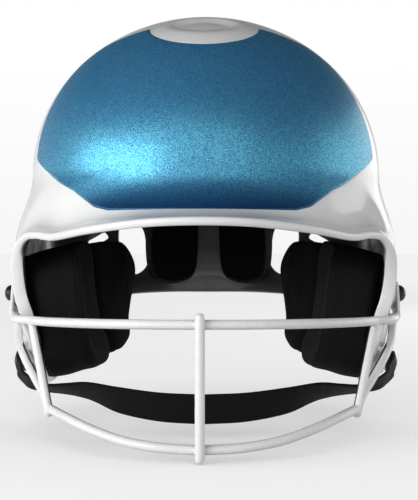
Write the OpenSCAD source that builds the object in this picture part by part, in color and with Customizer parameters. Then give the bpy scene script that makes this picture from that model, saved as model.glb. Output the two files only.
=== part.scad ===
// Softball batting helmet with a wire face guard.
// Millimetres. The face looks along -Y, +Z is up, and the origin is at the middle of the head.

/* [Shell] */
// Half width of the dome, outside
dome_w = 105; // [98:0.5:112]
// Dome length in front of the middle of the head
front_len = 116; // [108:0.5:124]
// Dome length behind the middle of the head
rear_len = 115; // [108:0.5:124]
// Height of the crown above the widest level of the dome
dome_h = 95.5; // [90:0.5:104]
// Wall thickness of the shell
wall_t = 4.2; // [3.2:0.1:5]
// How much wider than the dome the ear flaps stand, each side
ear_bulge = 6.5; // [4:0.5:9]
// Diameter of each ear hole
ear_hole_d = 24; // [16:1:30]
// Width of each slot in the crown
crown_slot_w = 7; // [5:0.5:10]

/* [Crown panel] */
// Thickness of the coloured panel
panel_t = 1; // [0.8:0.1:1.6]
// Half width of the notch that shows the shell at the crown
notch_w = 31; // [24:1:38]

/* [Face guard] */
// Diameter of the coated wire
wire_d = 4.8; // [4:0.1:5.6]
// Height of the top bar, at its ends
top_bar_z = -38; // [-42:0.5:-34]
// Height of the bottom bar at its middle
bottom_bar_z = -96.5; // [-102:0.5:-92]
// How far the guard stands in front of the middle of the head
guard_reach = 151; // [146:0.5:158]
// Thickness of the steel tabs on the side loops
tab_t = 1.5; // [1.2:0.1:2.2]

/* [Fasteners] */
// Thread diameter of the guard screws
screw_d = 5; // [4:0.5:6]
// Head diameter of the guard screws
screw_head_d = 9.6; // [8:0.2:12]
// Post diameter of the strap snaps
snap_d = 6; // [5:0.2:7]

/* [Pads] */
// Thickness of the jaw pads, at their rear edge
jaw_pad_t = 38; // [32:1:42]
// Thickness of the pads behind the ears
ear_pad_t = 44; // [38:1:46]
// Thickness of the rear pads
rear_pad_t = 17; // [12:1:22]
// Thickness of the brow pad
brow_pad_t = 13; // [9:1:16]
// Thickness of the crown pad
crown_pad_t = 14; // [9:1:18]

/* [Chin strap] */
// Width of the webbing
strap_w = 19; // [15:1:22]
// Thickness of the webbing
strap_t = 1.8; // [1.4:0.1:2.4]

/* [Hidden] */

white = "whitesmoke";
charcoal = "#1c1c1c";

// Widest level of the dome, and the centre that the shell is drawn from
dome_z = 45;
mid_y = 2;
centre = [0, mid_y, dome_z];
// Depth over which the flaps narrow to nothing, if they went on down
skirt_h = 185;
// Drop over which the plan grows squarer, and how much, at the front and at the rear
square_drop = 50;
front_square = 1.2;
rear_square = 0.25;
bulge_drop = 42;
// The shell's paths start at this point, tipped back from the crown
pole_tilt = 27;
pole = [0, sin(pole_tilt), cos(pole_tilt)];

// Right half of the shell's edge, from the peak round the flap to the nape:
// place, degrees of path given to the turned-out lip, and the turn of the lip
rim_rows = [
    [0, -150, 16, 11, 80], [28, -144.5, 15.2, 11, 80], [57, -126, 12.2, 11, 76],
    [78, -105, 9, 12, 70], [89.5, -93, 10, 12, 58], [97.5, -85, 8.5, 12, 48],
    [104, -79, 1, 11, 34], [105.8, -75.5, -10, 8, 16], [104.3, -74, -25, 7, 2],
    [100.3, -73, -38, 6, -6], [97, -70, -50, 5, -8], [95.6, -61, -60, 5, -4],
    [96.2, -45, -69, 5, 0], [97.3, -22, -77, 5, 0], [97.8, 5, -81, 5, 0],
    [96.8, 30, -77, 5, 0], [93.6, 46, -63, 5, 2], [89, 60, -46, 5, 4],
    [79, rear_len - 37, -34, 5, 6], [58, rear_len - 17, -30, 5, 8],
    [30, rear_len - 3.5, -28.5, 5, 9], [0, rear_len + 1, -28.5, 5, 9]
];
rim_last = len(rim_rows) - 1;
// Steps round half of the edge, and along each path on the dome and on the lip
half_steps = 40;
dome_rings = 13;
lip_rings = 6;
rings = dome_rings + lip_rings;

function unit(v) = v / norm(v);
function ease(u) = let (c = max(0, min(1, u))) c * c * (3 - 2 * c);
function flip(p) = [-p[0], p[1], p[2]];
function sided(p, side) = [side * p[0], p[1], p[2]];

// A smooth curve through hand-set rows
function bend(a, b, c, d, u) = 0.5 * (2 * b + (c - a) * u
    + (2 * a - 5 * b + 4 * c - d) * u * u + (3 * b - a - 3 * c + d) * u * u * u);
function row_at(rows, i) = i < 0 ? 2 * rows[0] - rows[1]
    : i >= len(rows) ? 2 * rows[len(rows) - 1] - rows[len(rows) - 2] : rows[i];
function on_curve(rows, t) = let (k = t * (len(rows) - 1), i = min(floor(k), len(rows) - 2))
    bend(row_at(rows, i - 1), rows[i], rows[i + 1], row_at(rows, i + 2), k - i);

// The edge mirrors at the peak and at the nape
function mirrored(r) = [-r[0], r[1], r[2], r[3], r[4]];
function rim_row(i) = i < 0 ? mirrored(rim_rows[-i])
    : i > rim_last ? mirrored(rim_rows[2 * rim_last - i]) : rim_rows[i];
function rim(t) = let (k = t * rim_last, i = max(0, min(floor(k), rim_last - 1)))
    bend(rim_row(i - 1), rim_row(i), rim_row(i + 1), rim_row(i + 2), k - i);
function rim_point(t) = let (r = rim(t)) [r[0], r[1], r[2]];

// 1 on the outer skin of the plain dome and flaps, less inside it
function level(p) =
    let (y = p[1] - mid_y, dz = p[2] - dome_z, reach_y = y < 0 ? front_len : rear_len)
    dz >= 0 ? norm([p[0] / dome_w, y / reach_y, dz / dome_h])
    : let (n = 2 + (y < 0 ? front_square : rear_square) * ease(-dz / square_drop),
           w = dome_w + ear_bulge * ease(-dz / bulge_drop),
           plan = pow(pow(abs(p[0]) / w, n) + pow(abs(y) / reach_y, n), 1 / n))
      pow(pow(plan, 3) + pow(-dz / skirt_h, 3), 1 / 3);
function search(from, dir, lo, hi, turns) = let (m = (lo + hi) / 2)
    turns == 0 ? m
    : level(from + m * dir) < 1 ? search(from, dir, m, hi, turns - 1)
    : search(from, dir, lo, m, turns - 1);
// Where a line from a point inside meets the skin
function skin(from, dir) = from + dir * search(from, dir, 0, 260, 24);
function dome_point(dir) = skin(centre, dir);
// Outward direction on the skin
function outward(p) = let (e = 0.5)
    unit([level(p + [e, 0, 0]) - level(p - [e, 0, 0]),
          level(p + [0, e, 0]) - level(p - [0, e, 0]),
          level(p + [0, 0, e]) - level(p - [0, 0, e])]);
// Half width of the skin at a depth and height on the side
function side_x(y, z) = skin([0, y, z], [1, 0, 0])[0];

// One path of the shell, from the pole to its edge
function aim(t) = unit(rim_point(t) - centre);
function path_angle(t) = acos(pole * aim(t));
function swing(t, angle) = let (d = aim(t), whole = path_angle(t))
    (sin(whole - angle) * pole + sin(angle) * d) / sin(whole);
function lip_start(t) = path_angle(t) - rim(t)[3];
function lip_point(t, u) =
    let (a = lip_start(t),
         from = dome_point(swing(t, a)),
         before = dome_point(swing(t, a - 1)),
         to = rim_point(t),
         under = dome_point(aim(t)),
         down = unit(under - dome_point(swing(t, path_angle(t) - 1))),
         turn = rim(t)[4],
         exit = cos(turn) * down + sin(turn) * outward(under),
         size = norm(to - from),
         p1 = from + unit(from - before) * size * 0.42,
         p2 = to - exit * size * 0.5,
         v = 1 - u)
    v * v * v * from + 3 * v * v * u * p1 + 3 * v * u * u * p2 + u * u * u * to;
// A point of the shell: t goes along the edge, s from 0 at the pole to 1 on the lip's start and 2 at the edge
function shell_point(t, s) = s <= 1 ? dome_point(swing(t, lip_start(t) * s)) : lip_point(t, s - 1);
function ring_s(j) = j <= dome_rings ? j / dome_rings : 1 + (j - dome_rings) / lip_rings;

// The whole skin as loops, one for each ring, made from the right half
half_skin = [for (i = [0 : half_steps]) [for (j = [1 : rings]) shell_point(i / half_steps, ring_s(j))]];
loops = 2 * half_steps;
function skin_at(i, j) = let (k = (i + loops) % loops)
    k <= half_steps ? half_skin[k][j] : flip(half_skin[loops - k][j]);
function skin_out(i, j) =
    let (round_it = skin_at(i + 1, j) - skin_at(i - 1, j),
         along = skin_at(i, min(j + 1, rings - 1)) - skin_at(i, max(j - 1, 0)))
    unit(cross(along, round_it));
function edge_out(i) = unit(skin_at(i, rings - 1) - skin_at(i, rings - 2));

// A closed body from loops of equal length, with a point at each end.
// The quads' diagonals turn over where the body mirrors: half way round, or half way along.
function quad_faces(a, b, c, d, over) = over ? [[a, b, d], [b, c, d]] : [[a, b, c], [a, c, d]];
function loop_faces(n, k, over) = concat(
    [for (i = [0 : n - 1]) [0, 1 + (i + 1) % n, 1 + i]],
    [for (j = [0 : k - 2]) for (i = [0 : n - 1])
        let (a = 1 + j * n, b = a + n, m = (i + 1) % n)
        each quad_faces(a + i, a + m, b + m, b + i, over(i / n, j / (k - 1)))],
    [for (i = [0 : n - 1]) let (a = 1 + (k - 1) * n) [a + i, a + (i + 1) % n, 1 + k * n]]);
module capped_loops(first, rows, last, over = function (round_it, along) false) {
    n = len(rows[0]);
    polyhedron(concat([first], [for (r = rows) each r], [last]), loop_faces(n, len(rows), over));
}

module skin_body() {
    outer = [for (j = [0 : rings - 1]) [for (i = [0 : loops - 1]) skin_at(i, j)]];
    inner = [for (j = [rings - 1 : -1 : 0])
        [for (i = [0 : loops - 1]) skin_at(i, j) - wall_t * skin_out(i, j)]];
    rolled = [for (i = [0 : loops - 1])
        skin_at(i, rings - 1) - wall_t / 2 * skin_out(i, rings - 1) + wall_t * 0.3 * edge_out(i)];
    top = dome_point(pole);
    capped_loops(top, concat(outer, [rolled], inner), top - wall_t * outward(top),
        function (round_it, along) (round_it >= 0.5) != (along >= 0.5));
}

/* Flat seats on the flaps for the guard screws and the strap snaps */
screw_spots = [[-40, -25], [-20, -27]];
snap_spot = [-20, -66];
seat_d = 13;
seat_rise = 0.7;
seat_in = 1.6;
function wall_in(spot) = side_x(spot[0], spot[1]) - wall_t * 1.05;
// The guard's screws share one seat plane, so that the tab lies flat
screw_seat_x = max([for (p = screw_spots) side_x(p[0], p[1])]) + seat_rise;
screw_in_x = min([for (p = screw_spots) wall_in(p)]) - seat_in;
snap_rise = 2.8;
snap_seat_x = side_x(snap_spot[0], snap_spot[1]) + snap_rise;
snap_in_x = wall_in(snap_spot) - snap_rise;

module along_x(side, spot, from, to, d) {
    translate([side * from, spot[0], spot[1]])
        rotate([0, side * 90, 0]) cylinder(h = to - from, d = d, $fn = 40);
}

// Rear vents, seen along Y: large ones beside the rear pads, small ones outboard of them
vent_corner = 3;
large_vent = [[42.5, -8], [46, -14.5], [52.5, -18], [58.5, -8], [63, 6], [62, 22], [55, 27], [46, 14]];
small_vent_spot = [76, 7];
small_vent_size = [13, 5];
small_vent_tilt = -32;
ear_hole_spot = [0, -34];
// The ear hole is cut between these half widths
ear_cut = [80, 130];
crown_slots = 3;
crown_slot_len = 34;
crown_slot_gap = 17;
// Depth of the first slot's middle line, and the height that the cuts start from
crown_slot_front = 10;
crown_cut_z = dome_z + dome_h * 2 / 3;
// The rear cuts run back from this depth
rear_cut_y = 40;

module rear_cut(side) {
    translate([0, rear_len + rear_cut_y, 0]) scale([side, 1, 1]) rotate([90, 0, 0]) linear_extrude(rear_len) {
        offset(r = vent_corner, $fn = 20) offset(delta = -vent_corner) polygon(large_vent);
        translate(small_vent_spot) rotate(small_vent_tilt)
            translate([-small_vent_size[0] / 2, -small_vent_size[1] / 2]) square(small_vent_size);
    }
}

module crown_cut() {
    // Short slots across the crown, behind the notch's round end
    for (k = [0 : crown_slots - 1])
        translate([0, crown_slot_front + k * crown_slot_gap, crown_cut_z])
            linear_extrude(dome_h) {
                square([crown_slot_len - crown_slot_w, crown_slot_w], center = true);
                for (side = [-1, 1]) translate([side * (crown_slot_len - crown_slot_w) / 2, 0])
                    circle(d = crown_slot_w, $fn = 24);
            }
}

module shell() {
    color(white) difference() {
        union() {
            skin_body();
            for (side = [-1, 1]) {
                for (spot = screw_spots) along_x(side, spot, screw_in_x, screw_seat_x, seat_d);
                along_x(side, snap_spot, snap_in_x, snap_seat_x, seat_d);
            }
        }
        for (side = [-1, 1]) {
            for (spot = screw_spots)
                along_x(side, spot, screw_in_x - 5, screw_seat_x + 5, nut_d + 0.4);
            along_x(side, snap_spot, snap_in_x - 5, snap_seat_x + 5, rivet_d + 0.3);
            along_x(side, ear_hole_spot, ear_cut[0], ear_cut[1], ear_hole_d);
            rear_cut(side);
        }
        crown_cut();
    }
}

/* The coloured panel lies on the dome, round the notch at the crown */
panel_gap = 1.2;
panel_steps = 27;
panel_rings = 19;
notch_front = -50;
notch_nose = 31;
// Height of the panel's lower edge against the angle from the front, in degrees
panel_edge = [[0, 20.5], [24, 20.5], [29, 22.5], [38, 32], [47, 38], [55, 44], [64, 51], [72, 56], [180, 60]];
// Depth of the panel's side edge against height; behind it the shell is bare
panel_side = [[45, -45], [60, -44], [90, -41], [108, -37], [118, -38], [127, -50]];
// Share of a path that the panel still covers at its lower corner
panel_tip = 0.025;
function edge_height(a) = lookup(a, panel_edge);
function in_notch(p) = p[1] > notch_front ? abs(p[0]) < notch_w
    : norm([p[0] / notch_w, (p[1] - notch_front) / notch_nose]) < 1;
function is_bare(p) = in_notch(p) || p[1] > lookup(p[2], panel_side);
function above_edge(p) = p[2] > edge_height(atan2(abs(p[0]), -p[1]));
function find_s(t, lo, hi, turns, outer) =
    let (m = (lo + hi) / 2, p = shell_point(t, m), on = outer ? above_edge(p) : is_bare(p))
    turns == 0 ? m : on ? find_s(t, m, hi, turns - 1, outer) : find_s(t, lo, m, turns - 1, outer);
function panel_top(t) = find_s(t, 0, 1, 12, false);
function panel_low(t) = find_s(t, 0.3, 1.8, 12, true);
function find_end(lo, hi, turns) = let (m = (lo + hi) / 2)
    turns == 0 ? lo
    : panel_low(m) - panel_top(m) > panel_tip ? find_end(m, hi, turns - 1) : find_end(lo, m, turns - 1);
panel_end = find_end(0.2, 0.8, 9);
half_panel = [for (i = [0 : panel_steps])
    let (t = panel_end * i / panel_steps, a = panel_top(t), b = panel_low(t))
    [for (j = [0 : panel_rings]) shell_point(t, a + (b - a) * j / panel_rings)]];
function panel_at(i, j) = i < 0 ? flip(half_panel[-i][j]) : half_panel[i][j];
function panel_out(i, j) =
    let (lo = max(-panel_steps, i - 1), hi = min(panel_steps, i + 1))
    unit(cross(panel_at(i, min(j + 1, panel_rings)) - panel_at(i, max(j - 1, 0)),
               panel_at(hi, j) - panel_at(lo, j)));
function panel_row(i) = concat(
    [for (j = [0 : panel_rings]) panel_at(i, j) + panel_gap * panel_out(i, j)],
    [for (j = [panel_rings : -1 : 0]) panel_at(i, j) + (panel_gap + panel_t) * panel_out(i, j)]);
function mean(rows) = [for (k = [0 : 2]) [for (r = rows) r[k]] * [for (r = rows) 1] / len(rows)];

module crown_panel() {
    rows = [for (i = [-panel_steps : panel_steps]) panel_row(i)];
    color("#3c8cb8") capped_loops(mean(rows[0]), rows, mean(rows[2 * panel_steps]),
        function (round_it, along) (along < 0.5) != (round_it >= 0.5));
}

/* Face guard wires */
wire_sides = 10;
guard_corner = [92.5, -85, top_bar_z];
guard_foot = [81, -97, -84];
upright_foot = guard_foot + [0.4, 0, -2];
top_rise = 2;
// How far crossing wires are pressed into each other at a weld
weld = 0.8;
// Radius of a bar that runs from one corner to the other through its foremost point
function bow(half, sag) = (half * half + sag * sag) / (2 * sag);

// A wire along a path, with rounded ends
function wire_frame(path, i) = let (a = path[max(0, i - 1)], b = path[min(len(path) - 1, i + 1)],
    dir = unit(b - a), side = unit(cross(dir, abs(dir[2]) > 0.9 ? [0, 1, 0] : [0, 0, 1])))
    [side, cross(dir, side)];
function wire_ring(path, i, r) = let (f = wire_frame(path, i))
    [for (k = [0 : wire_sides - 1]) let (a = -360 * k / wire_sides)
        path[i] + r * (cos(a) * f[0] + sin(a) * f[1])];
module wire(path) {
    n = len(path) - 1;
    r = wire_d / 2;
    from = unit(path[0] - path[1]);
    to = unit(path[n] - path[n - 1]);
    tips = [[path[0] + from * r * 0.7, r * 0.6], [path[n] + to * r * 0.7, r * 0.6]];
    rows = concat(
        [[for (p = wire_ring(path, 0, tips[0][1])) p + from * r * 0.7]],
        [for (i = [0 : n]) wire_ring(path, i, r)],
        [[for (p = wire_ring(path, n, tips[1][1])) p + to * r * 0.7]]);
    capped_loops(path[0] + from * r, rows, path[n] + to * r);
}
function path_on(rows, steps) = [for (i = [0 : steps]) on_curve(rows, i / steps)];

module guard_top_bar() {
    sag = guard_reach + guard_corner[1];
    r = bow(guard_corner[0], sag);
    half = asin(guard_corner[0] / r);
    tilt = atan2(top_rise, sag);
    color(white) translate([0, guard_corner[1], guard_corner[2]]) rotate([-tilt, 0, 0])
        translate([0, r - sag, 0]) rotate([0, 0, -90 - half])
            rotate_extrude(angle = 2 * half, $fn = 72) translate([r, 0]) circle(d = wire_d, $fn = 16);
}

// Half of the bottom bar as shares of the way from its foremost point to the foot of the upright
bottom_shape = [[0, 0, 0], [0.25, 0.042, 0.072], [0.482, 0.176, 0.248], [0.691, 0.38, 0.568],
    [0.864, 0.657, 0.856], [1, 1, 1]];
bottom_front = [0, -guard_reach, bottom_bar_z];
bottom_half = [for (q = bottom_shape)
    [for (k = [0 : 2]) bottom_front[k] + q[k] * (guard_foot[k] - bottom_front[k])]];
bottom_steps = 14;
module guard_bottom_bar() {
    half = path_on(bottom_half, bottom_steps);
    color(white) wire(concat([for (i = [bottom_steps : -1 : 1]) flip(half[i])], half));
}

module guard_centre_bar() {
    overhang = 3.4;
    low = bottom_bar_z - overhang;
    high = top_bar_z + top_rise + overhang;
    color(white) translate([0, -guard_reach - wire_d + weld, 0]) {
        translate([0, 0, low]) cylinder(h = high - low, d = wire_d, $fn = 24);
        for (z = [low, high]) translate([0, 0, z]) sphere(d = wire_d, $fn = 24);
    }
}

module guard_upright(side) {
    run = guard_corner - upright_foot;
    color(white) translate(sided(upright_foot, side))
        rotate([0, acos(run[2] / norm(run)), atan2(run[1], side * run[0])]) {
            cylinder(h = norm(run), d = wire_d, $fn = 24);
            for (z = [0, norm(run)]) translate([0, 0, z]) sphere(d = wire_d, $fn = 24);
        }
}
module guard_upright_left() guard_upright(-1);
module guard_upright_right() guard_upright(1);

// The loop runs back along the flap, turns down and comes forward to the upright.
// The tab's plate is pressed this far into it.
loop_lap = 1.2;
loop_corner_x = screw_seat_x - wire_d / 2 + loop_lap;
loop_rows = [[94, -84.2, top_bar_z], [101.5, -77, top_bar_z], [106, -64, top_bar_z],
    [loop_corner_x, -48, top_bar_z], [loop_corner_x, -38, -39.5], [loop_corner_x, -36.5, -45],
    [106.3, -47, -52], [99.8, -65, -60], [92, -77, -70], [85.5, -87.5, -77.5], [82.5, -94, -82.5]];
module guard_loop(side) color(white) wire([for (p = path_on(loop_rows, 30)) sided(p, side)]);
module guard_loop_left() guard_loop(-1);
module guard_loop_right() guard_loop(1);

// Steel tab between the loop and the two screws
tab_r = 7;
// Depths between which the tab lies on the loop, and the radius of its corners there
tab_foot = [-50, -38];
tab_foot_r = 2;
module guard_tab(side) {
    hole = screw_d + 0.4;
    color(white) translate([side * (screw_seat_x + (side < 0 ? tab_t : 0)), 0, 0])
        rotate([90, 0, 90]) difference() {
            linear_extrude(tab_t) hull() {
                for (p = screw_spots) translate(p) circle(r = tab_r, $fn = 32);
                for (y = tab_foot) translate([y, top_bar_z + 1]) circle(r = tab_foot_r, $fn = 24);
            }
            for (p = screw_spots) translate([p[0], p[1], -1]) cylinder(h = tab_t + 2, d = hole, $fn = 40);
        }
}
module guard_tab_left() guard_tab(-1);
module guard_tab_right() guard_tab(1);

/* Screws and nuts */
nut_d = 7.4;
nut_flange_d = 12;
nut_flange_t = 1.4;
screw_head_h = 4.6;
module screw(side, spot) {
    face = screw_seat_x + tab_t;
    dome_r = (pow(screw_head_d / 2, 2) + pow(screw_head_h, 2)) / (2 * screw_head_h);
    translate([side * face, spot[0], spot[1]]) rotate([0, side * 90, 0]) {
        intersection() {
            cylinder(h = screw_head_h, d = screw_head_d, $fn = 40);
            translate([0, 0, screw_head_h - dome_r]) sphere(r = dome_r, $fn = 48);
        }
        translate([0, 0, screw_in_x - face + 0.5])
            cylinder(h = face - screw_in_x - 0.5, d = screw_d, $fn = 40);
    }
}
module guard_screws() color(charcoal) for (side = [-1, 1]) for (p = screw_spots) screw(side, p);

module nut(side, spot) {
    difference() {
        union() {
            along_x(side, spot, screw_in_x - nut_flange_t, screw_in_x, nut_flange_d);
            along_x(side, spot, screw_in_x - nut_flange_t, screw_seat_x - 0.3, nut_d);
        }
        along_x(side, spot, screw_in_x - nut_flange_t - 1, screw_seat_x + 1, screw_d);
    }
}
module guard_nuts() color("dimgray") for (side = [-1, 1]) for (p = screw_spots) nut(side, p);

/* Strap snaps: stud on the flap, socket and cap on the strap */
rivet_d = 4;
rivet_head_d = 9;
rivet_head_t = 1.2;
collar_t = 1;
post_h = 2.6;
snap_outer_d = 12.5;
fit = 0.25;
socket_x = snap_seat_x + collar_t + fit;
strap_x = socket_x + post_h;
cap_h = 3;
module snap_studs() {
    color("silver") for (side = [-1, 1]) {
        along_x(side, snap_spot, snap_in_x - rivet_head_t, snap_in_x, rivet_head_d);
        along_x(side, snap_spot, snap_in_x - 0.5, snap_seat_x + 0.5, rivet_d);
        along_x(side, snap_spot, snap_seat_x, snap_seat_x + collar_t, rivet_head_d);
        along_x(side, snap_spot, snap_seat_x + collar_t / 2, snap_seat_x + collar_t + post_h - 0.6, snap_d);
    }
}
module snap_sockets() {
    color(charcoal) for (side = [-1, 1]) difference() {
        along_x(side, snap_spot, socket_x, strap_x, snap_outer_d);
        along_x(side, snap_spot, socket_x - 1, strap_x - 0.4, snap_d + 2 * fit);
    }
}
module snap_caps() {
    dome_r = (pow(snap_outer_d / 2, 2) + pow(cap_h, 2)) / (2 * cap_h);
    color(charcoal) for (side = [-1, 1])
        translate([side * (strap_x + strap_t), snap_spot[0], snap_spot[1]]) rotate([0, side * 90, 0])
            intersection() {
                cylinder(h = cap_h, d = snap_outer_d, $fn = 40);
                translate([0, 0, cap_h - dome_r]) sphere(r = dome_r, $fn = 48);
            }
}

/* Chin strap: its middle line, and the turn of its width from upright, in degrees */
tab_x = strap_x + strap_t / 2;
strap_rows = [
    [tab_x, -8, -63, 0], [tab_x, -20, -66, 0], [tab_x, -29, -68.3, -2], [105.3, -42, -71.4, -12],
    [101, -52.5, -73.8, -30], [92.5, -61, -75.8, -55], [82, -68.5, -77, -68], [71, -75, -77, -62],
    [60, -80.5, -77.5, -48], [45, -86, -81, -34], [23, -90.5, -84, -28], [0, -92, -85, -26]];
strap_steps = 26;
strap_half = [for (i = [0 : strap_steps]) on_curve(strap_rows, i / strap_steps)];
function place(r) = [r[0], r[1], r[2]];
function strap_row(i) =
    let (r = strap_half[i], a = strap_half[max(0, i - 1)], b = strap_half[min(strap_steps, i + 1)],
         dir = i == strap_steps ? [-1, 0, 0] : unit(place(b) - place(a)),
         up0 = unit([0, 0, 1] - dir * dir[2]), out = cross(dir, up0),
         up = cos(r[3]) * up0 + sin(r[3]) * out, thick = cross(dir, up),
         w = strap_w / 2 * (i == 0 ? 0.7 : 1), h = strap_t / 2, p = place(r))
    [p + w * up + h * thick, p - w * up + h * thick, p - w * up - h * thick, p + w * up - h * thick];
function flipped_row(rows) = [for (p = rows) flip(p)];
module chin_strap() {
    right = [for (i = [0 : strap_steps]) strap_row(i)];
    left = [for (i = [strap_steps - 1 : -1 : 0]) flipped_row(right[i])];
    rows = [for (r = concat(right, left)) [r[3], r[2], r[1], r[0]]];
    color(charcoal) capped_loops(mean(rows[0]), rows, mean(rows[len(rows) - 1]));
}

/* Pads: outline on the wall, thickness, crown and drawn-in sides */
pad_gap = 0.5;
// Share of the outline and share of the thickness, from the wall round to the face
pad_back = [0.4, 0.75, 0.96];
pad_side = [[0.985, 0.1], [1, 0.35], [0.99, 0.6], [0.995, 0.8], [0.98, 0.92], [0.94, 0.985], [0.75, 1.02],
    [0.35, 1.05]];
function outline_on(pts, steps) = [for (i = [0 : steps - 1])
    let (k = i / steps * len(pts), j = floor(k), n = len(pts))
    bend(pts[(j + n - 1) % n], pts[j], pts[(j + 1) % n], pts[(j + 2) % n], k - j)];

// The pads on the flaps are laid out in Y and Z; the flaps draw in towards their lower and front edges
flap_draw_in = 3.6;
// Rise of these pads towards the head, against their depth
pad_lean = 0.2;
function drawn_in(p) = flap_draw_in * max(ease((-p[0] - 44) / 18), ease((-p[1] - 50) / 18));
function on_side(side, p, depth) =
    let (x = side_x(p[0], p[1]) - wall_t * 1.08 - pad_gap - drawn_in(p))
    [side * (x - depth), p[0], p[1] + pad_lean * depth];
// The others are laid out by angle round the head and angle above the dome's widest level
function heading(p) = [sin(p[0]) * cos(p[1]), -cos(p[0]) * cos(p[1]), sin(p[1])];
function on_dome(p, depth) = let (q = dome_point(heading(p)), n = outward(q))
    q - n * (wall_t * 1.05 + pad_gap + depth);

module pad(outline, middle, thick, place_at, turn) {
    steps = len(outline);
    back = [for (r = pad_back) [for (p = outline) place_at(middle + (p - middle) * r, 0)]];
    front = [for (q = pad_side) [for (p = outline) let (m = middle + (p - middle) * q[0])
        place_at(m, thick(m) * q[1])]];
    rows = concat(back, front);
    ordered = turn ? [for (r = rows) [for (i = [steps - 1 : -1 : 0]) r[i]]] : rows;
    capped_loops(place_at(middle, 0), ordered, place_at(middle, thick(middle) * 1.07));
}

pad_steps = 28;
jaw_outline = [[-68, -12], [-58, -5], [-40, 0], [-20, 1], [-13, -8], [-13, -30], [-13, -56], [-20, -70],
    [-38, -72], [-54, -65], [-63, -52], [-69, -32]];
jaw_middle = [-38, -34];
// Share of the thickness that the jaw pad has at its front edge, and its run to the full thickness
jaw_front = 0.66;
jaw_run = [-66, -13];
ear_outline = [[14, 2], [34, 5], [52, 3], [63, -8], [65, -20], [61, -32], [52, -44], [42, -56], [34, -66],
    [20, -70], [13, -62], [12, -40], [12, -14]];
ear_middle = [34, -30];
ear_front = 0.82;
ear_run = [10, 46];
function along_run(y, run) = max(0, min(1, (y - run[0]) / (run[1] - run[0])));
module jaw_pad(side) {
    grow = function (p) jaw_pad_t * (jaw_front + (1 - jaw_front) * along_run(p[0], jaw_run));
    color(charcoal) difference() {
        pad(outline_on(jaw_outline, pad_steps), jaw_middle, grow,
            function (p, d) on_side(side, p, d), side > 0);
        for (spot = screw_spots)
            along_x(side, spot, screw_in_x - nut_flange_t - 0.6, screw_in_x + 20, seat_d + 1.5);
        along_x(side, snap_spot, snap_in_x - rivet_head_t - 0.6, snap_in_x + 20, seat_d + 1.5);
    }
}
module jaw_pad_left() jaw_pad(-1);
module jaw_pad_right() jaw_pad(1);

module ear_pad(side) {
    grow = function (p) ear_pad_t * (ear_front + (1 - ear_front) * along_run(p[0], ear_run));
    color(charcoal) pad(outline_on(ear_outline, pad_steps), ear_middle, grow,
        function (p, d) on_side(side, p, d), side > 0);
}
module ear_pad_left() ear_pad(-1);
module ear_pad_right() ear_pad(1);

// Upright pads at the rear
rear_outline = [[157, -27.5], [162, -31], [170, -31], [175, -27.5], [176, -14], [175, 2], [170, 7], [160, 7],
    [156, 2], [156, -14]];
module rear_pad(side) {
    color(charcoal) pad([for (p = outline_on(rear_outline, pad_steps)) [side * p[0], p[1]]],
        [side * 166, -13], function (p) rear_pad_t, function (p, d) on_dome(p, d), side < 0);
}
module rear_pad_left() rear_pad(-1);
module rear_pad_right() rear_pad(1);

brow_outline = [[-58, -3], [-30, -6], [0, -7], [30, -6], [58, -3], [62, 6], [56, 15], [30, 17], [0, 18], [-30, 17],
    [-56, 15], [-62, 6]];
module brow_pad() {
    color(charcoal) pad(outline_on(brow_outline, 36), [0, 5], function (p) brow_pad_t,
        function (p, d) on_dome(p, d), false);
}

crown_r = 44;
channel_depth = 5;
channel_top = dome_z + dome_h - wall_t * 1.05 - pad_gap - crown_pad_t + channel_depth;
module crown_pad() {
    round = [for (i = [0 : pad_steps - 1]) let (a = 360 * i / pad_steps) crown_r * [cos(a), sin(a)]];
    over = function (p, d) let (q = skin([p[0], p[1], dome_z], [0, 0, 1])) q - outward(q) * (wall_t * 1.05 + pad_gap + d);
    color(charcoal) difference() {
        pad(round, [0, 0], function (p) crown_pad_t, over, false);
        // Air channel along the face
        translate([-crown_slot_w / 2, -crown_r, channel_top - dome_h]) cube([crown_slot_w, 2 * crown_r, dome_h]);
    }
}

shell();
crown_panel();
guard_top_bar();
guard_bottom_bar();
guard_centre_bar();
guard_upright_left();
guard_upright_right();
guard_loop_left();
guard_loop_right();
guard_tab_left();
guard_tab_right();
guard_screws();
guard_nuts();
brow_pad();
crown_pad();
rear_pad_left();
rear_pad_right();
jaw_pad_left();
jaw_pad_right();
ear_pad_left();
ear_pad_right();
chin_strap();
snap_sockets();
snap_caps();
snap_studs();
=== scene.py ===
"""Softball batting helmet with a wire face guard: the finished look of every piece.

The shell, the panel, the guard and the soft parts are drawn from the same
formulas and sizes as the solids, in millimetres, with finer steps. Each one
stands for its solid and moves with the solid's body.
"""

import math

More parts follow.
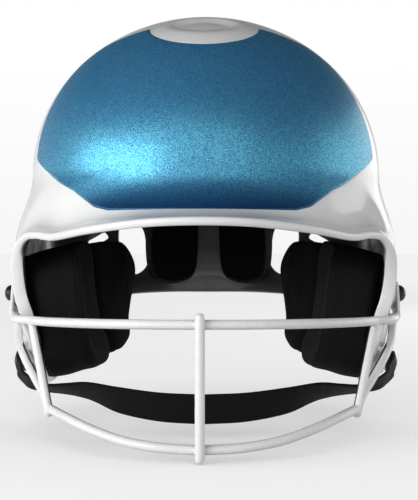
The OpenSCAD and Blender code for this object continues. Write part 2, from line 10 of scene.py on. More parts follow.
import bmesh
import bpy
import numpy as np
from bpy.props import FloatProperty, FloatVectorProperty, PointerProperty
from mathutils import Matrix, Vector


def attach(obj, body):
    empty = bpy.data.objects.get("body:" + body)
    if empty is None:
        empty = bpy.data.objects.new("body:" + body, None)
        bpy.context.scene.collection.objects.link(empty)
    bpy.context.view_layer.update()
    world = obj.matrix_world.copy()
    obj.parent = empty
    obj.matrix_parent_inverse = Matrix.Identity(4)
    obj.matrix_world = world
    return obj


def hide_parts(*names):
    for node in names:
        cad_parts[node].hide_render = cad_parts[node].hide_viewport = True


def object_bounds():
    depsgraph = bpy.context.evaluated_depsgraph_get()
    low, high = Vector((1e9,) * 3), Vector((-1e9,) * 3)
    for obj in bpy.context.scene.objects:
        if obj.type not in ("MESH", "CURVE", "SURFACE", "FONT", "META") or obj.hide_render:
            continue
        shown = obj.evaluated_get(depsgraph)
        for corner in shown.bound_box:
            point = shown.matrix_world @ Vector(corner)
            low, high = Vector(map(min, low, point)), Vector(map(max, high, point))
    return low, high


bl_info = {
    "name": "Softball batting helmet",
    "version": (1, 0, 0),
    "blender": (4, 5, 0),
    "location": "3D View > Sidebar > Helmet",
    "description": "Dresses a batting helmet with finishes, foam pads, wire guard and chin strap",
    "category": "Object",
}

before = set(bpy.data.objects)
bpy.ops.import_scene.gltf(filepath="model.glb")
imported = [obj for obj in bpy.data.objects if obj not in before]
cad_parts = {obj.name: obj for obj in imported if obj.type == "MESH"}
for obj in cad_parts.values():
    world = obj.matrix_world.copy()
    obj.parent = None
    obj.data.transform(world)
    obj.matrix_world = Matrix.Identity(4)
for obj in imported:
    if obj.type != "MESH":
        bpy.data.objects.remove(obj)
CAD_BOX = [list(corner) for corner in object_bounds()]
MM = 0.001

# Sizes of the shell, in millimetres and degrees, as the solid has them. LEAN makes up for a
# wall that leans against the line through it
DOME_W, FRONT_LEN, REAR_LEN, DOME_H = 105.0, 116.0, 115.0, 95.5
WALL_T, LEAN, EAR_BULGE, EAR_HOLE_D, CROWN_SLOT_W = 4.2, 1.05, 6.5, 24.0, 7.0
DOME_Z, MID_Y = 45.0, 2.0
CENTRE = np.array([0.0, MID_Y, DOME_Z])
SKIRT_H, SQUARE_DROP, FRONT_SQUARE, REAR_SQUARE, BULGE_DROP = 185.0, 50.0, 1.2, 0.25, 42.0
POLE_TILT = math.radians(27)
POLE = np.array([0.0, math.sin(POLE_TILT), math.cos(POLE_TILT)])
# Right half of the edge: place, degrees of path given to the lip, turn of the lip
RIM_ROWS = np.array([
    [0, -150, 16, 11, 80], [28, -144.5, 15.2, 11, 80], [57, -126, 12.2, 11, 76],
    [78, -105, 9, 12, 70], [89.5, -93, 10, 12, 58], [97.5, -85, 8.5, 12, 48],
    [104, -79, 1, 11, 34], [105.8, -75.5, -10, 8, 16], [104.3, -74, -25, 7, 2],
    [100.3, -73, -38, 6, -6], [97, -70, -50, 5, -8], [95.6, -61, -60, 5, -4],
    [96.2, -45, -69, 5, 0], [97.3, -22, -77, 5, 0], [97.8, 5, -81, 5, 0],
    [96.8, 30, -77, 5, 0], [93.6, 46, -63, 5, 2], [89, 60, -46, 5, 4],
    [79, REAR_LEN - 37, -34, 5, 6], [58, REAR_LEN - 17, -30, 5, 8],
    [30, REAR_LEN - 3.5, -28.5, 5, 9], [0, REAR_LEN + 1, -28.5, 5, 9]], float)
RIM_LAST = len(RIM_ROWS) - 1
# How strongly the lip's curve keeps the dome's direction at its start and its own at the edge
LIP_START_PULL, LIP_EDGE_PULL = 0.42, 0.5
HALF_STEPS, DOME_RINGS, LIP_RINGS = 132, 52, 22
# The rolled edge: its depth as a share of the wall, and the turns of its rows in degrees
ROLL_DEPTH, ROLL_TURNS = 0.31, [18, 40, 65, 90, 115, 140, 162]
# Outside any skin, and how often a search halves its range to find the skin
OUTSIDE, HALVINGS = 260.0, 30
# Rim of the flaps' front edges: how much thicker, the share of the lip that it takes up, and
# where it fades in depth and in height
FLAP_RIM, RIM_SHARE = 2.8, 0.45
RIM_DEPTH, RIM_DEPTH_FADE, RIM_TOP, RIM_TOP_FADE = -60.0, 12.0, 8.0, 14.0
# Dish in the crown's land: its middle, its half sizes and how steep its border is
DISH_Y, DISH_HALF_W, DISH_HALF_LEN, DISH_SLOPE = -52.0, 20.0, 15.0, 2.2
# How far a surface turns inward where the shell's inner grey begins, and where it is full
# The inner grey is bare plastic, darkened further as painted shade inside the shell
BARE_AND_SHADE_FROM, BARE_AND_SHADE_FULL = 0.2, 0.4

# Crown panel
NOTCH_W, NOTCH_FRONT, NOTCH_NOSE = 31.0, -50.0, 31.0
PANEL_PROUD, PANEL_SUNK, PANEL_TIP = 0.8, 0.25, 0.012
PANEL_STEPS, PANEL_RINGS = 130, 60
# Height of the lower edge against the angle from the front, in degrees
PANEL_EDGE = np.array([[0, 20.5], [24, 20.5], [29, 22.5], [38, 32], [47, 38], [55, 44], [64, 51],
                       [72, 56], [180, 60]], float)
# Depth of the side edge against height
PANEL_SIDE = np.array([[45, -45], [60, -44], [90, -41], [108, -37], [118, -38], [127, -50]], float)

# Vents and holes
LARGE_VENT = [(42.5, -8), (46, -14.5), (52.5, -18), (58.5, -8), (63, 6), (62, 22), (55, 27),
              (46, 14)]
SMALL_VENT_SPOT, SMALL_VENT_SIZE, SMALL_VENT_TILT = (76.0, 7.0), (13.0, 5.0), -32.0
EAR_HOLE_SPOT = (0.0, -34.0)
CROWN_SLOTS, CROWN_SLOT_LEN, CROWN_SLOT_GAP, CROWN_SLOT_FRONT = 3, 34.0, 17.0, 10.0

# Face guard
WIRE_D, TOP_BAR_Z, BOTTOM_BAR_Z, GUARD_REACH, TAB_T = 4.8, -38.0, -96.5, 151.0, 1.5
GUARD_CORNER = np.array([92.5, -85.0, TOP_BAR_Z])
GUARD_FOOT = np.array([81.0, -97.0, -84.0])
UPRIGHT_FOOT = GUARD_FOOT + [0.4, 0, -2]
TOP_RISE, WELD, BAR_OVERHANG = 2.0, 0.8, 3.4
# How far out the wires and tabs are white all round, and the coat's thickness on a wire
WHITE_FROM, COAT_T = 103.0, 0.08
# Depth of the point that the black side faces; smoothing of the coat; slack of a screw's bore
FACE_Y, SMOOTHING, SMOOTH_ROUNDS, BORE_SLACK = 10.0, 0.5, 4, 0.2
LOOP_BEND = [(94, -84.2, TOP_BAR_Z), (101.5, -77, TOP_BAR_Z), (106, -64, TOP_BAR_Z)]
LOOP_RETURN = [(106.3, -47, -52), (99.8, -65, -60), (92, -77, -70), (85.5, -87.5, -77.5),
               (82.5, -94, -82.5)]
BOTTOM_SHAPE = np.array([[0, 0, 0], [0.25, 0.042, 0.072], [0.482, 0.176, 0.248],
                         [0.691, 0.38, 0.568], [0.864, 0.657, 0.856], [1, 1, 1]])

# Fasteners
SCREW_SPOTS = [(-40.0, -25.0), (-20.0, -27.0)]
SNAP_SPOT = (-20.0, -66.0)
SCREW_D, SCREW_HEAD_D, SCREW_HEAD_H, LOOP_LAP = 5.0, 9.6, 4.6, 1.2
SEAT_D, SEAT_RISE, SEAT_IN, SNAP_RISE = 13.0, 0.7, 1.6, 2.8
COLLAR_T, POST_H, SNAP_D, SNAP_OUTER_D, FIT, CAP_H = 1.0, 2.6, 6.0, 12.5, 0.25, 3.0
TAB_R, TAB_FOOT, TAB_FOOT_R = 7.0, (-50.0, -38.0), 2.0
CROSS_W, CROSS_BLADE, CROSS_DEPTH, CROSS_TURN = 3.9, 0.95, 2.0, 0.6

# Chin strap
STRAP_W, STRAP_T, STRAP_STEPS = 19.0, 1.8, 110
# Share of the full width at the snaps, and where along the strap it widens and is full
STRAP_NARROW, STRAP_WIDENS, STRAP_WIDENING = 0.62, 42.0, 45.0
# The cut ends: how far past the first row they start, their length and their narrowest share
NOSE_START, NOSE_LEN, NOSE_SHARE = 4.6, 9.0, 0.7

# Pads
JAW_PAD_T, EAR_PAD_T, REAR_PAD_T, BROW_PAD_T, CROWN_PAD_T = 38.0, 44.0, 17.0, 13.0, 14.0
CROWN_R, PAD_GAP, FLAP_DRAW_IN, PAD_LEAN, PAD_STEPS = 44.0, 0.5, 3.6, 0.26, 112
# Rows of a pad: shares of the outline on its back, shares and rises up its side, shares on top
PAD_BACK = [0.4, 0.75, 0.96]
PAD_SIDE = [(0.985, 0.1), (1, 0.35), (0.99, 0.6), (0.995, 0.8), (0.98, 0.92), (0.94, 0.985),
            (0.75, 1.02), (0.35, 1.05)]
PAD_TOP, PAD_TOP_RISE, PAD_ROWS, PAD_FILL = [0.22, 0.11, 0.04], 1.068, 44, 0.85
# The sewn seam: how high up the side, its width, the half size over which it pulls in by its
# depth, how much of its depth it sinks, and its share of the full depth on the rear pads
SEAM_RISE, SEAM_W, SEAM_PULL, SEAM_SINK, REAR_SEAM = 0.885, 0.022, 34.0, 0.25, 0.6
# The flap pads stand off the skin by this many wall thicknesses and their gap
FLAP_WALL = 1.08
# Where the flap pads begin to keep in from the front and from below, and over what length
DRAW_IN_FRONT, DRAW_IN_LOW, DRAW_IN_LEN = 44.0, 50.0, 18.0
JAW_OUTLINE = [(-68, -15), (-58, -9), (-40, -4), (-20, -3), (-13, -11), (-13, -30), (-13, -56),
               (-20, -73), (-40, -75), (-56, -68), (-64, -54), (-69, -32)]
JAW_MIDDLE, JAW_FRONT, JAW_RUN = (-38.0, -34.0), 0.66, (-66.0, -13.0)
EAR_OUTLINE = [(14, -5), (34, -4), (51, -6), (61, -14), (64, -23), (60, -34), (52, -46), (43, -58),
               (35, -68), (20, -73), (13, -64), (12, -40), (12, -18)]
EAR_MIDDLE, EAR_FRONT, EAR_RUN = (34.0, -30.0), 0.82, (10.0, 46.0)
REAR_OUTLINE = [(157, -27.5), (162, -31), (170, -31), (175, -27.5), (176, -14), (175, 2), (170, 7),
                (160, 7), (156, 2), (156, -14)]
REAR_MIDDLE = (166.0, -13.0)
BROW_OUTLINE = [(-58, -3), (-30, -6), (0, -7), (30, -6), (58, -3), (62, 6), (56, 15), (30, 17),
                (0, 18), (-30, 17), (-56, 15), (-62, 6)]
BROW_MIDDLE, BROW_STEPS = (0.0, 5.0), 160

# Stage, in metres. Each light has its name, place and size
LIGHTS = {"key": ("key_left", (-1.12, -0.72, 0.19), (1.4, 0.5)),
          "side": ("side_right", (1.0, 0.52, 0.2), (1.6, 0.56)),
          "front": ("front_soft", (-0.3, -1.75, 0.6), (3.0, 1.1))}
# Half the floor's side, and how far it lies below the helmet
FLOOR_HALF, FLOOR_DROP = 30.0, 0.0004
# Reach and softness of the shade that the helmet gives the floor, and where its light changes
SHADE_REACH, SHADE_POWER, FLOOR_CHANGE = 0.15, 0.4, (0.25, 3.0)
# The camera's sensor in millimetres, its shift as a share of the picture, and its range
SENSOR_W, PICTURE_SHIFT, CLIP_RANGE = 36.0, 0.006, (0.05, 50.0)


# ---------------------------------------------------------------- curves and the shell's skin

def unit(v):
    v = np.asarray(v, float)
    return v / np.maximum(np.linalg.norm(v, axis=-1, keepdims=True), 1e-12)


def ease(u):
    c = np.clip(u, 0, 1)
    return c * c * (3 - 2 * c)


def bend(a, b, c, d, u):
    """Point on a smooth curve between b and c."""
    square, cube = 2 * a - 5 * b + 4 * c - d, 3 * b - a - 3 * c + d
    return 0.5 * (2 * b + (c - a) * u + square * u * u + cube * u ** 3)


def on_curve(rows, t):
    """Points of an open smooth curve through the rows, for t from 0 to 1."""
    rows = np.asarray(rows, float)
    full = np.vstack([2 * rows[0] - rows[1], rows, 2 * rows[-1] - rows[-2]])
    k = np.asarray(t, float) * (len(rows) - 1)
    i = np.clip(np.floor(k).astype(int), 0, len(rows) - 2)
    return bend(full[i], full[i + 1], full[i + 2], full[i + 3], (k - i)[..., None])


def on_ring(rows, steps):
    """Points of a closed smooth curve through the rows."""
    rows = np.asarray(rows, float)
    k = np.arange(steps) / steps * len(rows)
    j = np.floor(k).astype(int)
    n = len(rows)
    near = [rows[(j + step) % n] for step in (-1, 0, 1, 2)]
    return bend(*near, (k - j)[:, None])


MIRROR_ROW = np.array([-1, 1, 1, 1, 1], float)
RIM_FULL = np.vstack([RIM_ROWS[1] * MIRROR_ROW, RIM_ROWS, RIM_ROWS[-2] * MIRROR_ROW])


def rim(t):
    k = np.asarray(t, float) * RIM_LAST
    i = np.clip(np.floor(k).astype(int), 0, RIM_LAST - 1)
    return bend(RIM_FULL[i], RIM_FULL[i + 1], RIM_FULL[i + 2], RIM_FULL[i + 3], (k - i)[..., None])


def level(p):
    """1 on the plain outer skin, less inside it."""
    x, y, dz = p[..., 0], p[..., 1] - MID_Y, p[..., 2] - DOME_Z
    reach = np.where(y < 0, FRONT_LEN, REAR_LEN)
    upper = np.sqrt((x / DOME_W) ** 2 + (y / reach) ** 2 + (dz / DOME_H) ** 2)
    drop = np.maximum(-dz, 0)
    n = 2 + np.where(y < 0, FRONT_SQUARE, REAR_SQUARE) * ease(drop / SQUARE_DROP)
    w = DOME_W + EAR_BULGE * ease(drop / BULGE_DROP)
    plan = ((np.abs(x) / w) ** n + (np.abs(y) / reach) ** n) ** (1 / n)
    lower = (plan ** 3 + (drop / SKIRT_H) ** 3) ** (1 / 3)
    return np.where(dz >= 0, upper, lower)


def skin(start, direction):
    """Where lines from points inside meet the plain skin."""
    start, direction = np.broadcast_arrays(np.asarray(start, float), np.asarray(direction, float))
    lo, hi = np.zeros(direction.shape[:-1]), np.full(direction.shape[:-1], OUTSIDE)
    for _ in range(HALVINGS):
        mid = (lo + hi) / 2
        inside = level(start + mid[..., None] * direction) < 1
        lo, hi = np.where(inside, mid, lo), np.where(inside, hi, mid)
    return start + ((lo + hi) / 2)[..., None] * direction


def dome_point(direction):
    return skin(CENTRE, direction)


def outward(p):
    e = 0.5
    steps = [np.array(v) * e for v in ([1, 0, 0], [0, 1, 0], [0, 0, 1])]
    return unit(np.stack([level(p + s) - level(p - s) for s in steps], -1))


def side_x(y, z):
    y, z = np.broadcast_arrays(np.asarray(y, float), np.asarray(z, float))
    return skin(np.stack([np.zeros_like(y), y, z], -1), np.array([1.0, 0, 0]))[..., 0]


def aim(t):
    return unit(rim(t)[..., :3] - CENTRE)


def path_angle(t):
    return np.arccos(np.clip(aim(t) @ POLE, -1, 1))


def swing(t, angle):
    d, whole, angle = aim(t), path_angle(t)[..., None], np.asarray(angle)[..., None]
    return (np.sin(whole - angle) * POLE + np.sin(angle) * d) / np.sin(whole)


def shell_point(t, s):
    """t goes along the edge; s is 0 at the pole, 1 where the lip starts and 2 at the edge."""
    t, s = np.broadcast_arrays(np.asarray(t, float), np.asarray(s, float))
    row, one = rim(t), math.radians(1)
    start = path_angle(t) - np.radians(row[..., 3])
    on_dome = dome_point(swing(t, start * np.minimum(s, 1)))
    begin, before = dome_point(swing(t, start)), dome_point(swing(t, start - one))
    to, under = row[..., :3], dome_point(aim(t))
    down = unit(under - dome_point(swing(t, path_angle(t) - one)))
    turn = np.radians(row[..., 4])[..., None]
    leave = np.cos(turn) * down + np.sin(turn) * outward(under)
    size = np.linalg.norm(to - begin, axis=-1, keepdims=True)
    p1 = begin + unit(begin - before) * size * LIP_START_PULL
    p2 = to - leave * size * LIP_EDGE_PULL
    u = np.clip(s - 1, 0, 1)[..., None]
    v = 1 - u
    lip = v ** 3 * begin + 3 * v * v * u * p1 + 3 * v * u * u * p2 + u ** 3 * to
    return np.where((s <= 1)[..., None], on_dome, lip)


def flipped(p):
    return p * np.array([-1.0, 1, 1])


# Places along X on the flaps, for the right side
LEAN_WALL = WALL_T * LEAN
SCREW_FACE_X = max(float(side_x(*p)) for p in SCREW_SPOTS) + SEAT_RISE
SCREW_IN_X = min(float(side_x(*p)) for p in SCREW_SPOTS) - LEAN_WALL - SEAT_IN
SNAP_FACE_X = float(side_x(*SNAP_SPOT)) + SNAP_RISE
SNAP_IN_X = float(side_x(*SNAP_SPOT)) - LEAN_WALL - SNAP_RISE
SOCKET_X = SNAP_FACE_X + COLLAR_T + FIT
STRAP_X = SOCKET_X + POST_H


# ---------------------------------------------------------------- meshes

def in_scene(name, data):
    """A new object in the scene that shows the data."""
    obj = bpy.data.objects.new(name, data)
    bpy.context.scene.collection.objects.link(obj)
    return obj


def make_object(name, verts, faces, sharp):
    """A mesh object from points in millimetres, with its faces turned outward."""
    mesh = bpy.data.meshes.new(name)
    corners = [tuple(int(i) for i in face) for face in faces]
    mesh.from_pydata((np.asarray(verts, float) * MM).tolist(), [], corners)
    work = bmesh.new()
    work.from_mesh(mesh)
    bmesh.ops.remove_doubles(work, verts=work.verts, dist=1e-7)
    bmesh.ops.recalc_face_normals(work, faces=work.faces)
    work.to_mesh(mesh)
    work.free()
    obj = in_scene(name, mesh)
    shade(obj, sharp)
    return obj


def shade(obj, sharp):
    """Smooth shading, with edges sharper than the angle in degrees kept."""
    obj.data.shade_smooth()
    obj.data.set_sharp_from_angle(angle=math.radians(sharp))


def strip_faces(rows, around, closed=True):
    """Quads between rows of equal length, each row a ring or an open line."""
    faces = []
    for start in range(0, (rows - 1) * around, around):
        for i in range(around if closed else around - 1):
            j = (i + 1) % around
            faces.append((start + i, start + j, start + around + j, start + around + i))
    return faces


def loft(name, rows, sharp, tips=None):
    """A closed body through rings of points, closed by a fan to a tip at each end."""
    rows = np.asarray(rows, float)
    count, around = rows.shape[:2]
    first, last = tips if tips else (rows[0].mean(0), rows[-1].mean(0))
    verts, faces = np.vstack([rows.reshape(-1, 3), first, last]), strip_faces(count, around)
    end = (count - 1) * around
    faces += [(end + around, (i + 1) % around, i) for i in range(around)]
    faces += [(end + around + 1, end + i, end + (i + 1) % around) for i in range(around)]
    return make_object(name, verts, faces, sharp)


def bake(obj):
    """Applies the object's modifiers to its mesh."""
    bpy.context.view_layer.update()
    graph = bpy.context.evaluated_depsgraph_get()
    mesh = bpy.data.meshes.new_from_object(obj.evaluated_get(graph))
    old = obj.data
    obj.modifiers.clear()
    obj.data = mesh
    bpy.data.meshes.remove(old)
    return obj


def cut(obj, cutters):
    """Takes the cutters' shapes out of the object."""
    for tool in cutters:
        change = obj.modifiers.new("cut", "BOOLEAN")
        change.operation, change.solver, change.object = "DIFFERENCE", "EXACT", tool
    bake(obj)
    for tool in cutters:
        remove(tool)
    return obj


def remove(obj):
    mesh = obj.data
    bpy.data.objects.remove(obj)
    bpy.data.meshes.remove(mesh)


def join(name, parts):
    """One object from several, each already in place."""
    work = bmesh.new()
    for part in parts:
        work.from_mesh(part.data)
    mesh = bpy.data.meshes.new(name)
    work.to_mesh(mesh)
    work.free()
    for part in parts:
        remove(part)
    return in_scene(name, mesh)


def points_of(obj):
    """The mesh's points in millimetres, and their normals."""
    count = len(obj.data.vertices)
    co, normal = np.zeros(count * 3), np.zeros(count * 3)
    obj.data.vertices.foreach_get("co", co)
    obj.data.vertices.foreach_get("normal", normal)
    return co.reshape(-1, 3) / MM, normal.reshape(-1, 3)


def mark(obj, name, value):
    """Stores one number for each point, for the material to read."""
    layer = obj.data.attributes.new(name, "FLOAT", "POINT")
    layer.data.foreach_set("value", value.astype(np.float32))


def full_turn(steps):
    """Cosines and sines of evenly spaced angles round a circle."""
    a = np.arange(steps) / steps * 2 * math.pi
    return np.stack([np.cos(a), np.sin(a)], -1)


def turned(name, profile, side, spot, around=48, sharp=35):
    """A lathe-turned piece on an axis along X: profile rows are (x, radius)."""
    ring = np.column_stack([np.zeros(around), full_turn(around)])
    rows = [np.array([side * x, spot[0], spot[1]]) + max(r, 1e-4) * ring for x, r in profile]
    return loft(name, rows, sharp)


def sweep(path, radius, around=20):
    """Rows of a round wire along a path, with rounded ends."""
    path = np.asarray(path, float)
    along = unit(np.gradient(path, axis=0))
    side = unit(np.cross(along[0], [0, 0, 1] if abs(along[0][2]) < 0.9 else [0, 1, 0]))
    rings = []
    for d in along:
        side = unit(side - d * (side @ d))
        rings.append(full_turn(around) @ np.stack([side, np.cross(d, side)]))
    rows = [p + radius * ring for p, ring in zip(path, rings)]
    for end, sign in ((0, -1), (-1, 1)):
        caps = [path[end] + radius * (math.sin(q) * sign * along[end] + math.cos(q) * rings[end])
                for q in np.radians([25, 50, 72, 87])]
        rows = rows + caps if sign > 0 else caps[::-1] + rows
    return np.array(rows)


# ---------------------------------------------------------------- materials

def new_material(name):
    mat = bpy.data.materials.new(name)
    mat.use_nodes = True
    mat.node_tree.nodes.clear()
    return mat, mat.node_tree


def put(tree, kind, inputs=None, **settings):
    """A node with its settings and inputs; an input that is a socket is linked."""
    made = tree.nodes.new(kind)
    for key, value in settings.items():
        setattr(made, key, value)
    for key, value in (inputs or {}).items():
        if isinstance(value, bpy.types.NodeSocket):
            tree.links.new(value, made.inputs[key])
        else:
            made.inputs[key].default_value = value
    return made


def place_of(tree):
    """Position in metres on the piece at rest."""
    return put(tree, "ShaderNodeTexCoord").outputs["Object"]


def sums(tree, operation, *values):
    return put(tree, "ShaderNodeMath", dict(enumerate(values)), operation=operation).outputs[0]


def product(tree, a, b):
    return sums(tree, "MULTIPLY", a, b)


def grain(tree, where, scale, detail=3.0, rough=0.55):
    inputs = {"Vector": where, "Scale": scale, "Detail": detail, "Roughness": rough}
    return put(tree, "ShaderNodeTexNoise", inputs).outputs["Fac"]


def span(tree, value, low, high, to_low, to_high):
    """Maps the value's range from low to high onto another range."""
    inputs = {"Value": value, "From Min": low, "From Max": high, "To Min": to_low,
              "To Max": to_high}
    return put(tree, "ShaderNodeMapRange", inputs).outputs[0]


def usual(tree, noise, to_low, to_high):
    """Maps the range that a grain usually has onto another range."""
    return span(tree, noise, 0.3, 0.7, to_low, to_high)


def marked(tree, name):
    """The number that mark stored for each point."""
    return put(tree, "ShaderNodeAttribute", attribute_name=name).outputs["Fac"]


def mixed(tree, share, a, b):
    made = put(tree, "ShaderNodeMix", {"Factor": share}, data_type="RGBA")
    for socket, value in ((made.inputs[6], a), (made.inputs[7], b)):
        if isinstance(value, bpy.types.NodeSocket):
            tree.links.new(value, socket)
        else:
            socket.default_value = value
    return made.outputs[2]


def bumped(tree, height, strength, distance, before=None):
    inputs = {"Height": height, "Strength": strength, "Distance": distance}
    if before is not None:
        inputs["Normal"] = before
    return put(tree, "ShaderNodeBump", inputs).outputs[0]


def finish_shader(tree, inputs):
    shader = put(tree, "ShaderNodeBsdfPrincipled", inputs)
    tree.links.new(shader.outputs[0], put(tree, "ShaderNodeOutputMaterial").inputs[0])


def tinted(colour, factor):
    return tuple(min(1.0, c * factor) for c in colour[:3]) + (1.0,)


def rgba(colour):
    return tuple(colour[:3]) + (1.0,)


def clouded(tree, noise, colour, factor):
    """The colour, drifting with the noise towards a lighter or darker tone of itself."""
    return mixed(tree, usual(tree, noise, 0, 1), rgba(colour), tinted(colour, factor))


def gloss_white(look):
    """Glossy white moulding, grey inside as bare plastic and painted shade, with faint ripples and
    scuffs.
    """
    mat, tree = new_material("gloss_white_shell")
    where = place_of(tree)
    colour = clouded(tree, grain(tree, where, 14, 4), look.colour, 0.965)
    # Painted shade: inward faces take the inner grey, bare plastic made darker still
    colour = mixed(tree, marked(tree, "inside"), colour, rgba(look.inner_colour))
    scuffs = grain(tree, where, 260, 5, 0.7)
    rough = span(tree, scuffs, 0.35, 0.75, look.roughness, look.roughness + 0.09)
    normal = bumped(tree, grain(tree, where, 190, 2, 0.4), look.ripple, 0.0006)
    finish_shader(tree, {"Base Color": colour, "Roughness": rough, "Normal": normal, "IOR": 1.52,
                         "Coat Weight": 0.35, "Coat Roughness": 0.06, "Specular IOR Level": 0.5})
    return mat


def flake_blue(look):
    """Deep blue paint with cyan metal flakes of many tilts, with painted shade near the lower edge.
    """
    mat, tree = new_material("metallic_blue_panel")
    where = place_of(tree)
    cells = {"Vector": where, "Scale": 1000 / look.flake, "Randomness": 1.0}
    flakes = put(tree, "ShaderNodeTexVoronoi", cells).outputs["Color"]
    bits = put(tree, "ShaderNodeSeparateColor", {0: flakes}).outputs
    base = clouded(tree, grain(tree, where, 22, 4), look.colour, 0.9)
    flake = span(tree, bits[0], 0.6 - look.sparkle, 1.4 - look.sparkle, 0.04, 0.94)
    colour = mixed(tree, flake, base, rgba(look.flake_colour))
    # Painted shade: the colour turns darker towards the panel's lower edge, above the peak
    height = put(tree, "ShaderNodeSeparateXYZ", {0: where}).outputs[2]
    low = span(tree, height, look.painted_shade_from, look.painted_shade_to, 0.15, 1)
    colour = mixed(tree, low, rgba(look.painted_shade_colour), colour)
    metal = span(tree, flake, 0, 1, 0.05, look.metal)
    rough = span(tree, bits[1], 0, 1, look.roughness - 0.06, look.roughness + 0.06)
    tilt = bumped(tree, bits[2], 0.11, 0.00005)
    normal = bumped(tree, grain(tree, where, 230, 2, 0.4), 0.04, 0.0005, tilt)
    finish_shader(tree, {"Base Color": colour, "Metallic": metal, "Roughness": rough,
                         "Normal": normal, "Specular IOR Level": 0.25})
    return mat


def wire_coat(look):
    """White dipped coat on the wires, matte black on the side towards the face."""
    mat, tree = new_material("coated_wire_white_and_black")
    where = place_of(tree)
    wander = usual(tree, grain(tree, where, 120, 3), -0.05, 0.05)
    black = span(tree, sums(tree, "ADD", marked(tree, "face_side"), wander), 0.46, 0.54, 0, 1)
    cloud = grain(tree, where, 60, 4)
    colour = mixed(tree, black, clouded(tree, cloud, look.colour, 0.95), rgba(look.inner_colour))
    rough = usual(tree, grain(tree, where, 700, 4), 0.24, 0.36)
    rough = sums(tree, "ADD", rough, product(tree, black, 0.3))
    normal = bumped(tree, grain(tree, where, 900, 3), 0.18, 0.00015)
    normal = bumped(tree, cloud, 0.1, 0.0006, normal)
    finish_shader(tree, {"Base Color": colour, "Roughness": rough, "Normal": normal, "IOR": 1.5})
    return mat


def dark_metal(name, colour, metal, rough_low, rough_high, scratch):
    """Blackened or plated steel with fine turning marks and small wear."""
    mat, tree = new_material(name)
    where = place_of(tree)
    wear = grain(tree, where, 420, 5, 0.7)
    colour = mixed(tree, span(tree, wear, 0.5, 0.8, 0, 0.5), rgba(colour), tinted(colour, 2.2))
    rough = usual(tree, grain(tree, where, 800, 4), rough_low, rough_high)
    normal = bumped(tree, grain(tree, where, 1500, 2), scratch, 0.00008)
    finish_shader(tree, {"Base Color": colour, "Metallic": metal, "Roughness": rough,
                         "Normal": normal})
    return mat


def moulded_black():
    """Black moulded plastic with a satin, faintly pitted surface."""
    mat, tree = new_material("snap_black_plastic")
    where = place_of(tree)
    cloud = usual(tree, grain(tree, where, 300, 4), 0, 1)
    colour = mixed(tree, cloud, (0.012, 0.012, 0.013, 1), (0.022, 0.022, 0.023, 1))
    rough = usual(tree, grain(tree, where, 900, 4), 0.28, 0.42)
    normal = bumped(tree, grain(tree, where, 1700, 2), 0.15, 0.0001)
    finish_shader(tree, {"Base Color": colour, "Roughness": rough, "Normal": normal})
    return mat


def knit(look):
    """Black knitted cover over foam: fine loops on all three axes, nap and faint creases."""
    mat, tree = new_material("pad_foam_knit_cover")
    where = place_of(tree)
    axes = put(tree, "ShaderNodeSeparateXYZ", {0: where}).outputs
    turn = 2 * math.pi * 1000 / look.knit
    waves = [sums(tree, "SINE", product(tree, axes[k], turn)) for k in range(3)]
    loops = sums(tree, "ADD", sums(tree, "ADD", waves[0], waves[1]), waves[2])
    fuzz = grain(tree, where, 1400, 4, 0.65)
    nap = span(tree, fuzz, 0.35, 0.7, 0, 1)
    patch = span(tree, grain(tree, where, 45, 4), 0.4, 0.7, 0, 0.5)
    colour = mixed(tree, nap, rgba(look.colour), tinted(look.colour, 1.9))
    colour = mixed(tree, patch, colour, tinted(look.colour, 1.5))
    fine = bumped(tree, sums(tree, "ADD", product(tree, loops, 0.2), fuzz), 0.5, 0.00025)
    normal = bumped(tree, grain(tree, where, 38, 3, 0.5), 0.35, 0.0016, fine)
    finish_shader(tree, {"Base Color": colour, "Roughness": 0.92, "Normal": normal,
                         "Sheen Weight": 0.015, "Sheen Roughness": 0.5, "Specular IOR Level": 0.1})
    return mat


def woven(look):
    """Webbing: ribs across and picks along, from the strap's own length and width."""
    mat, tree = new_material("webbing_woven_black")
    where = place_of(tree)
    lay = put(tree, "ShaderNodeUVMap", uv_map="webbing").outputs[0]
    lay = put(tree, "ShaderNodeSeparateXYZ", {0: lay}).outputs
    pick = product(tree, lay[0], 2 * math.pi / look.pick)
    rib = sums(tree, "SINE", product(tree, lay[1], 2 * math.pi / look.rib))
    shift = product(tree, sums(tree, "SIGN", rib), math.pi / 2)
    float_up = sums(tree, "ADD", sums(tree, "SINE", sums(tree, "ADD", pick, shift)), 1.4)
    weave = product(tree, sums(tree, "ABSOLUTE", rib), float_up)
    fuzz = grain(tree, where, 2200, 4, 0.7)
    worn = span(tree, weave, 0.2, 2.2, 0, 0.75)
    patch = span(tree, grain(tree, where, 60, 3), 0.35, 0.7, 0, 0.4)
    colour = mixed(tree, worn, rgba(look.colour), tinted(look.colour, 2.2))
    colour = mixed(tree, patch, colour, tinted(look.colour, 0.6))
    rough = usual(tree, fuzz, 0.55, 0.8)
    normal = bumped(tree, sums(tree, "ADD", weave, product(tree, fuzz, 0.5)), 0.6, 0.00022)
    finish_shader(tree, {"Base Color": colour, "Roughness": rough, "Normal": normal,
                         "Sheen Weight": 0.015, "Sheen Roughness": 0.4, "Specular IOR Level": 0.12})
    return mat


def dress(obj, mat, body="helmet", stands_for=()):
    """Gives a piece its material, its body and the solids it stands for."""
    obj.data.materials.clear()
    obj.data.materials.append(mat)
    if stands_for:
        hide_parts(*stands_for)
    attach(obj, body)
    return obj


def dress_node(node, mat):
    """Gives a solid that stays in view its material."""
    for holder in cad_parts[node].material_slots:
        holder.material = mat


# ---------------------------------------------------------------- settings

def tint(name, description, default):
    return FloatVectorProperty(name=name, description=description, subtype="COLOR", size=3,
                               default=default, min=0, max=1)


def amount(name, description, default, low=0, high=1):
    return FloatProperty(name=name, description=description, default=default, min=low, max=high)


def length(name, description, default, low, high):
    """A length in metres, shown in the scene's unit."""
    return FloatProperty(name=name, description=description, subtype="DISTANCE", unit="LENGTH",
                         default=default, min=low, max=high)


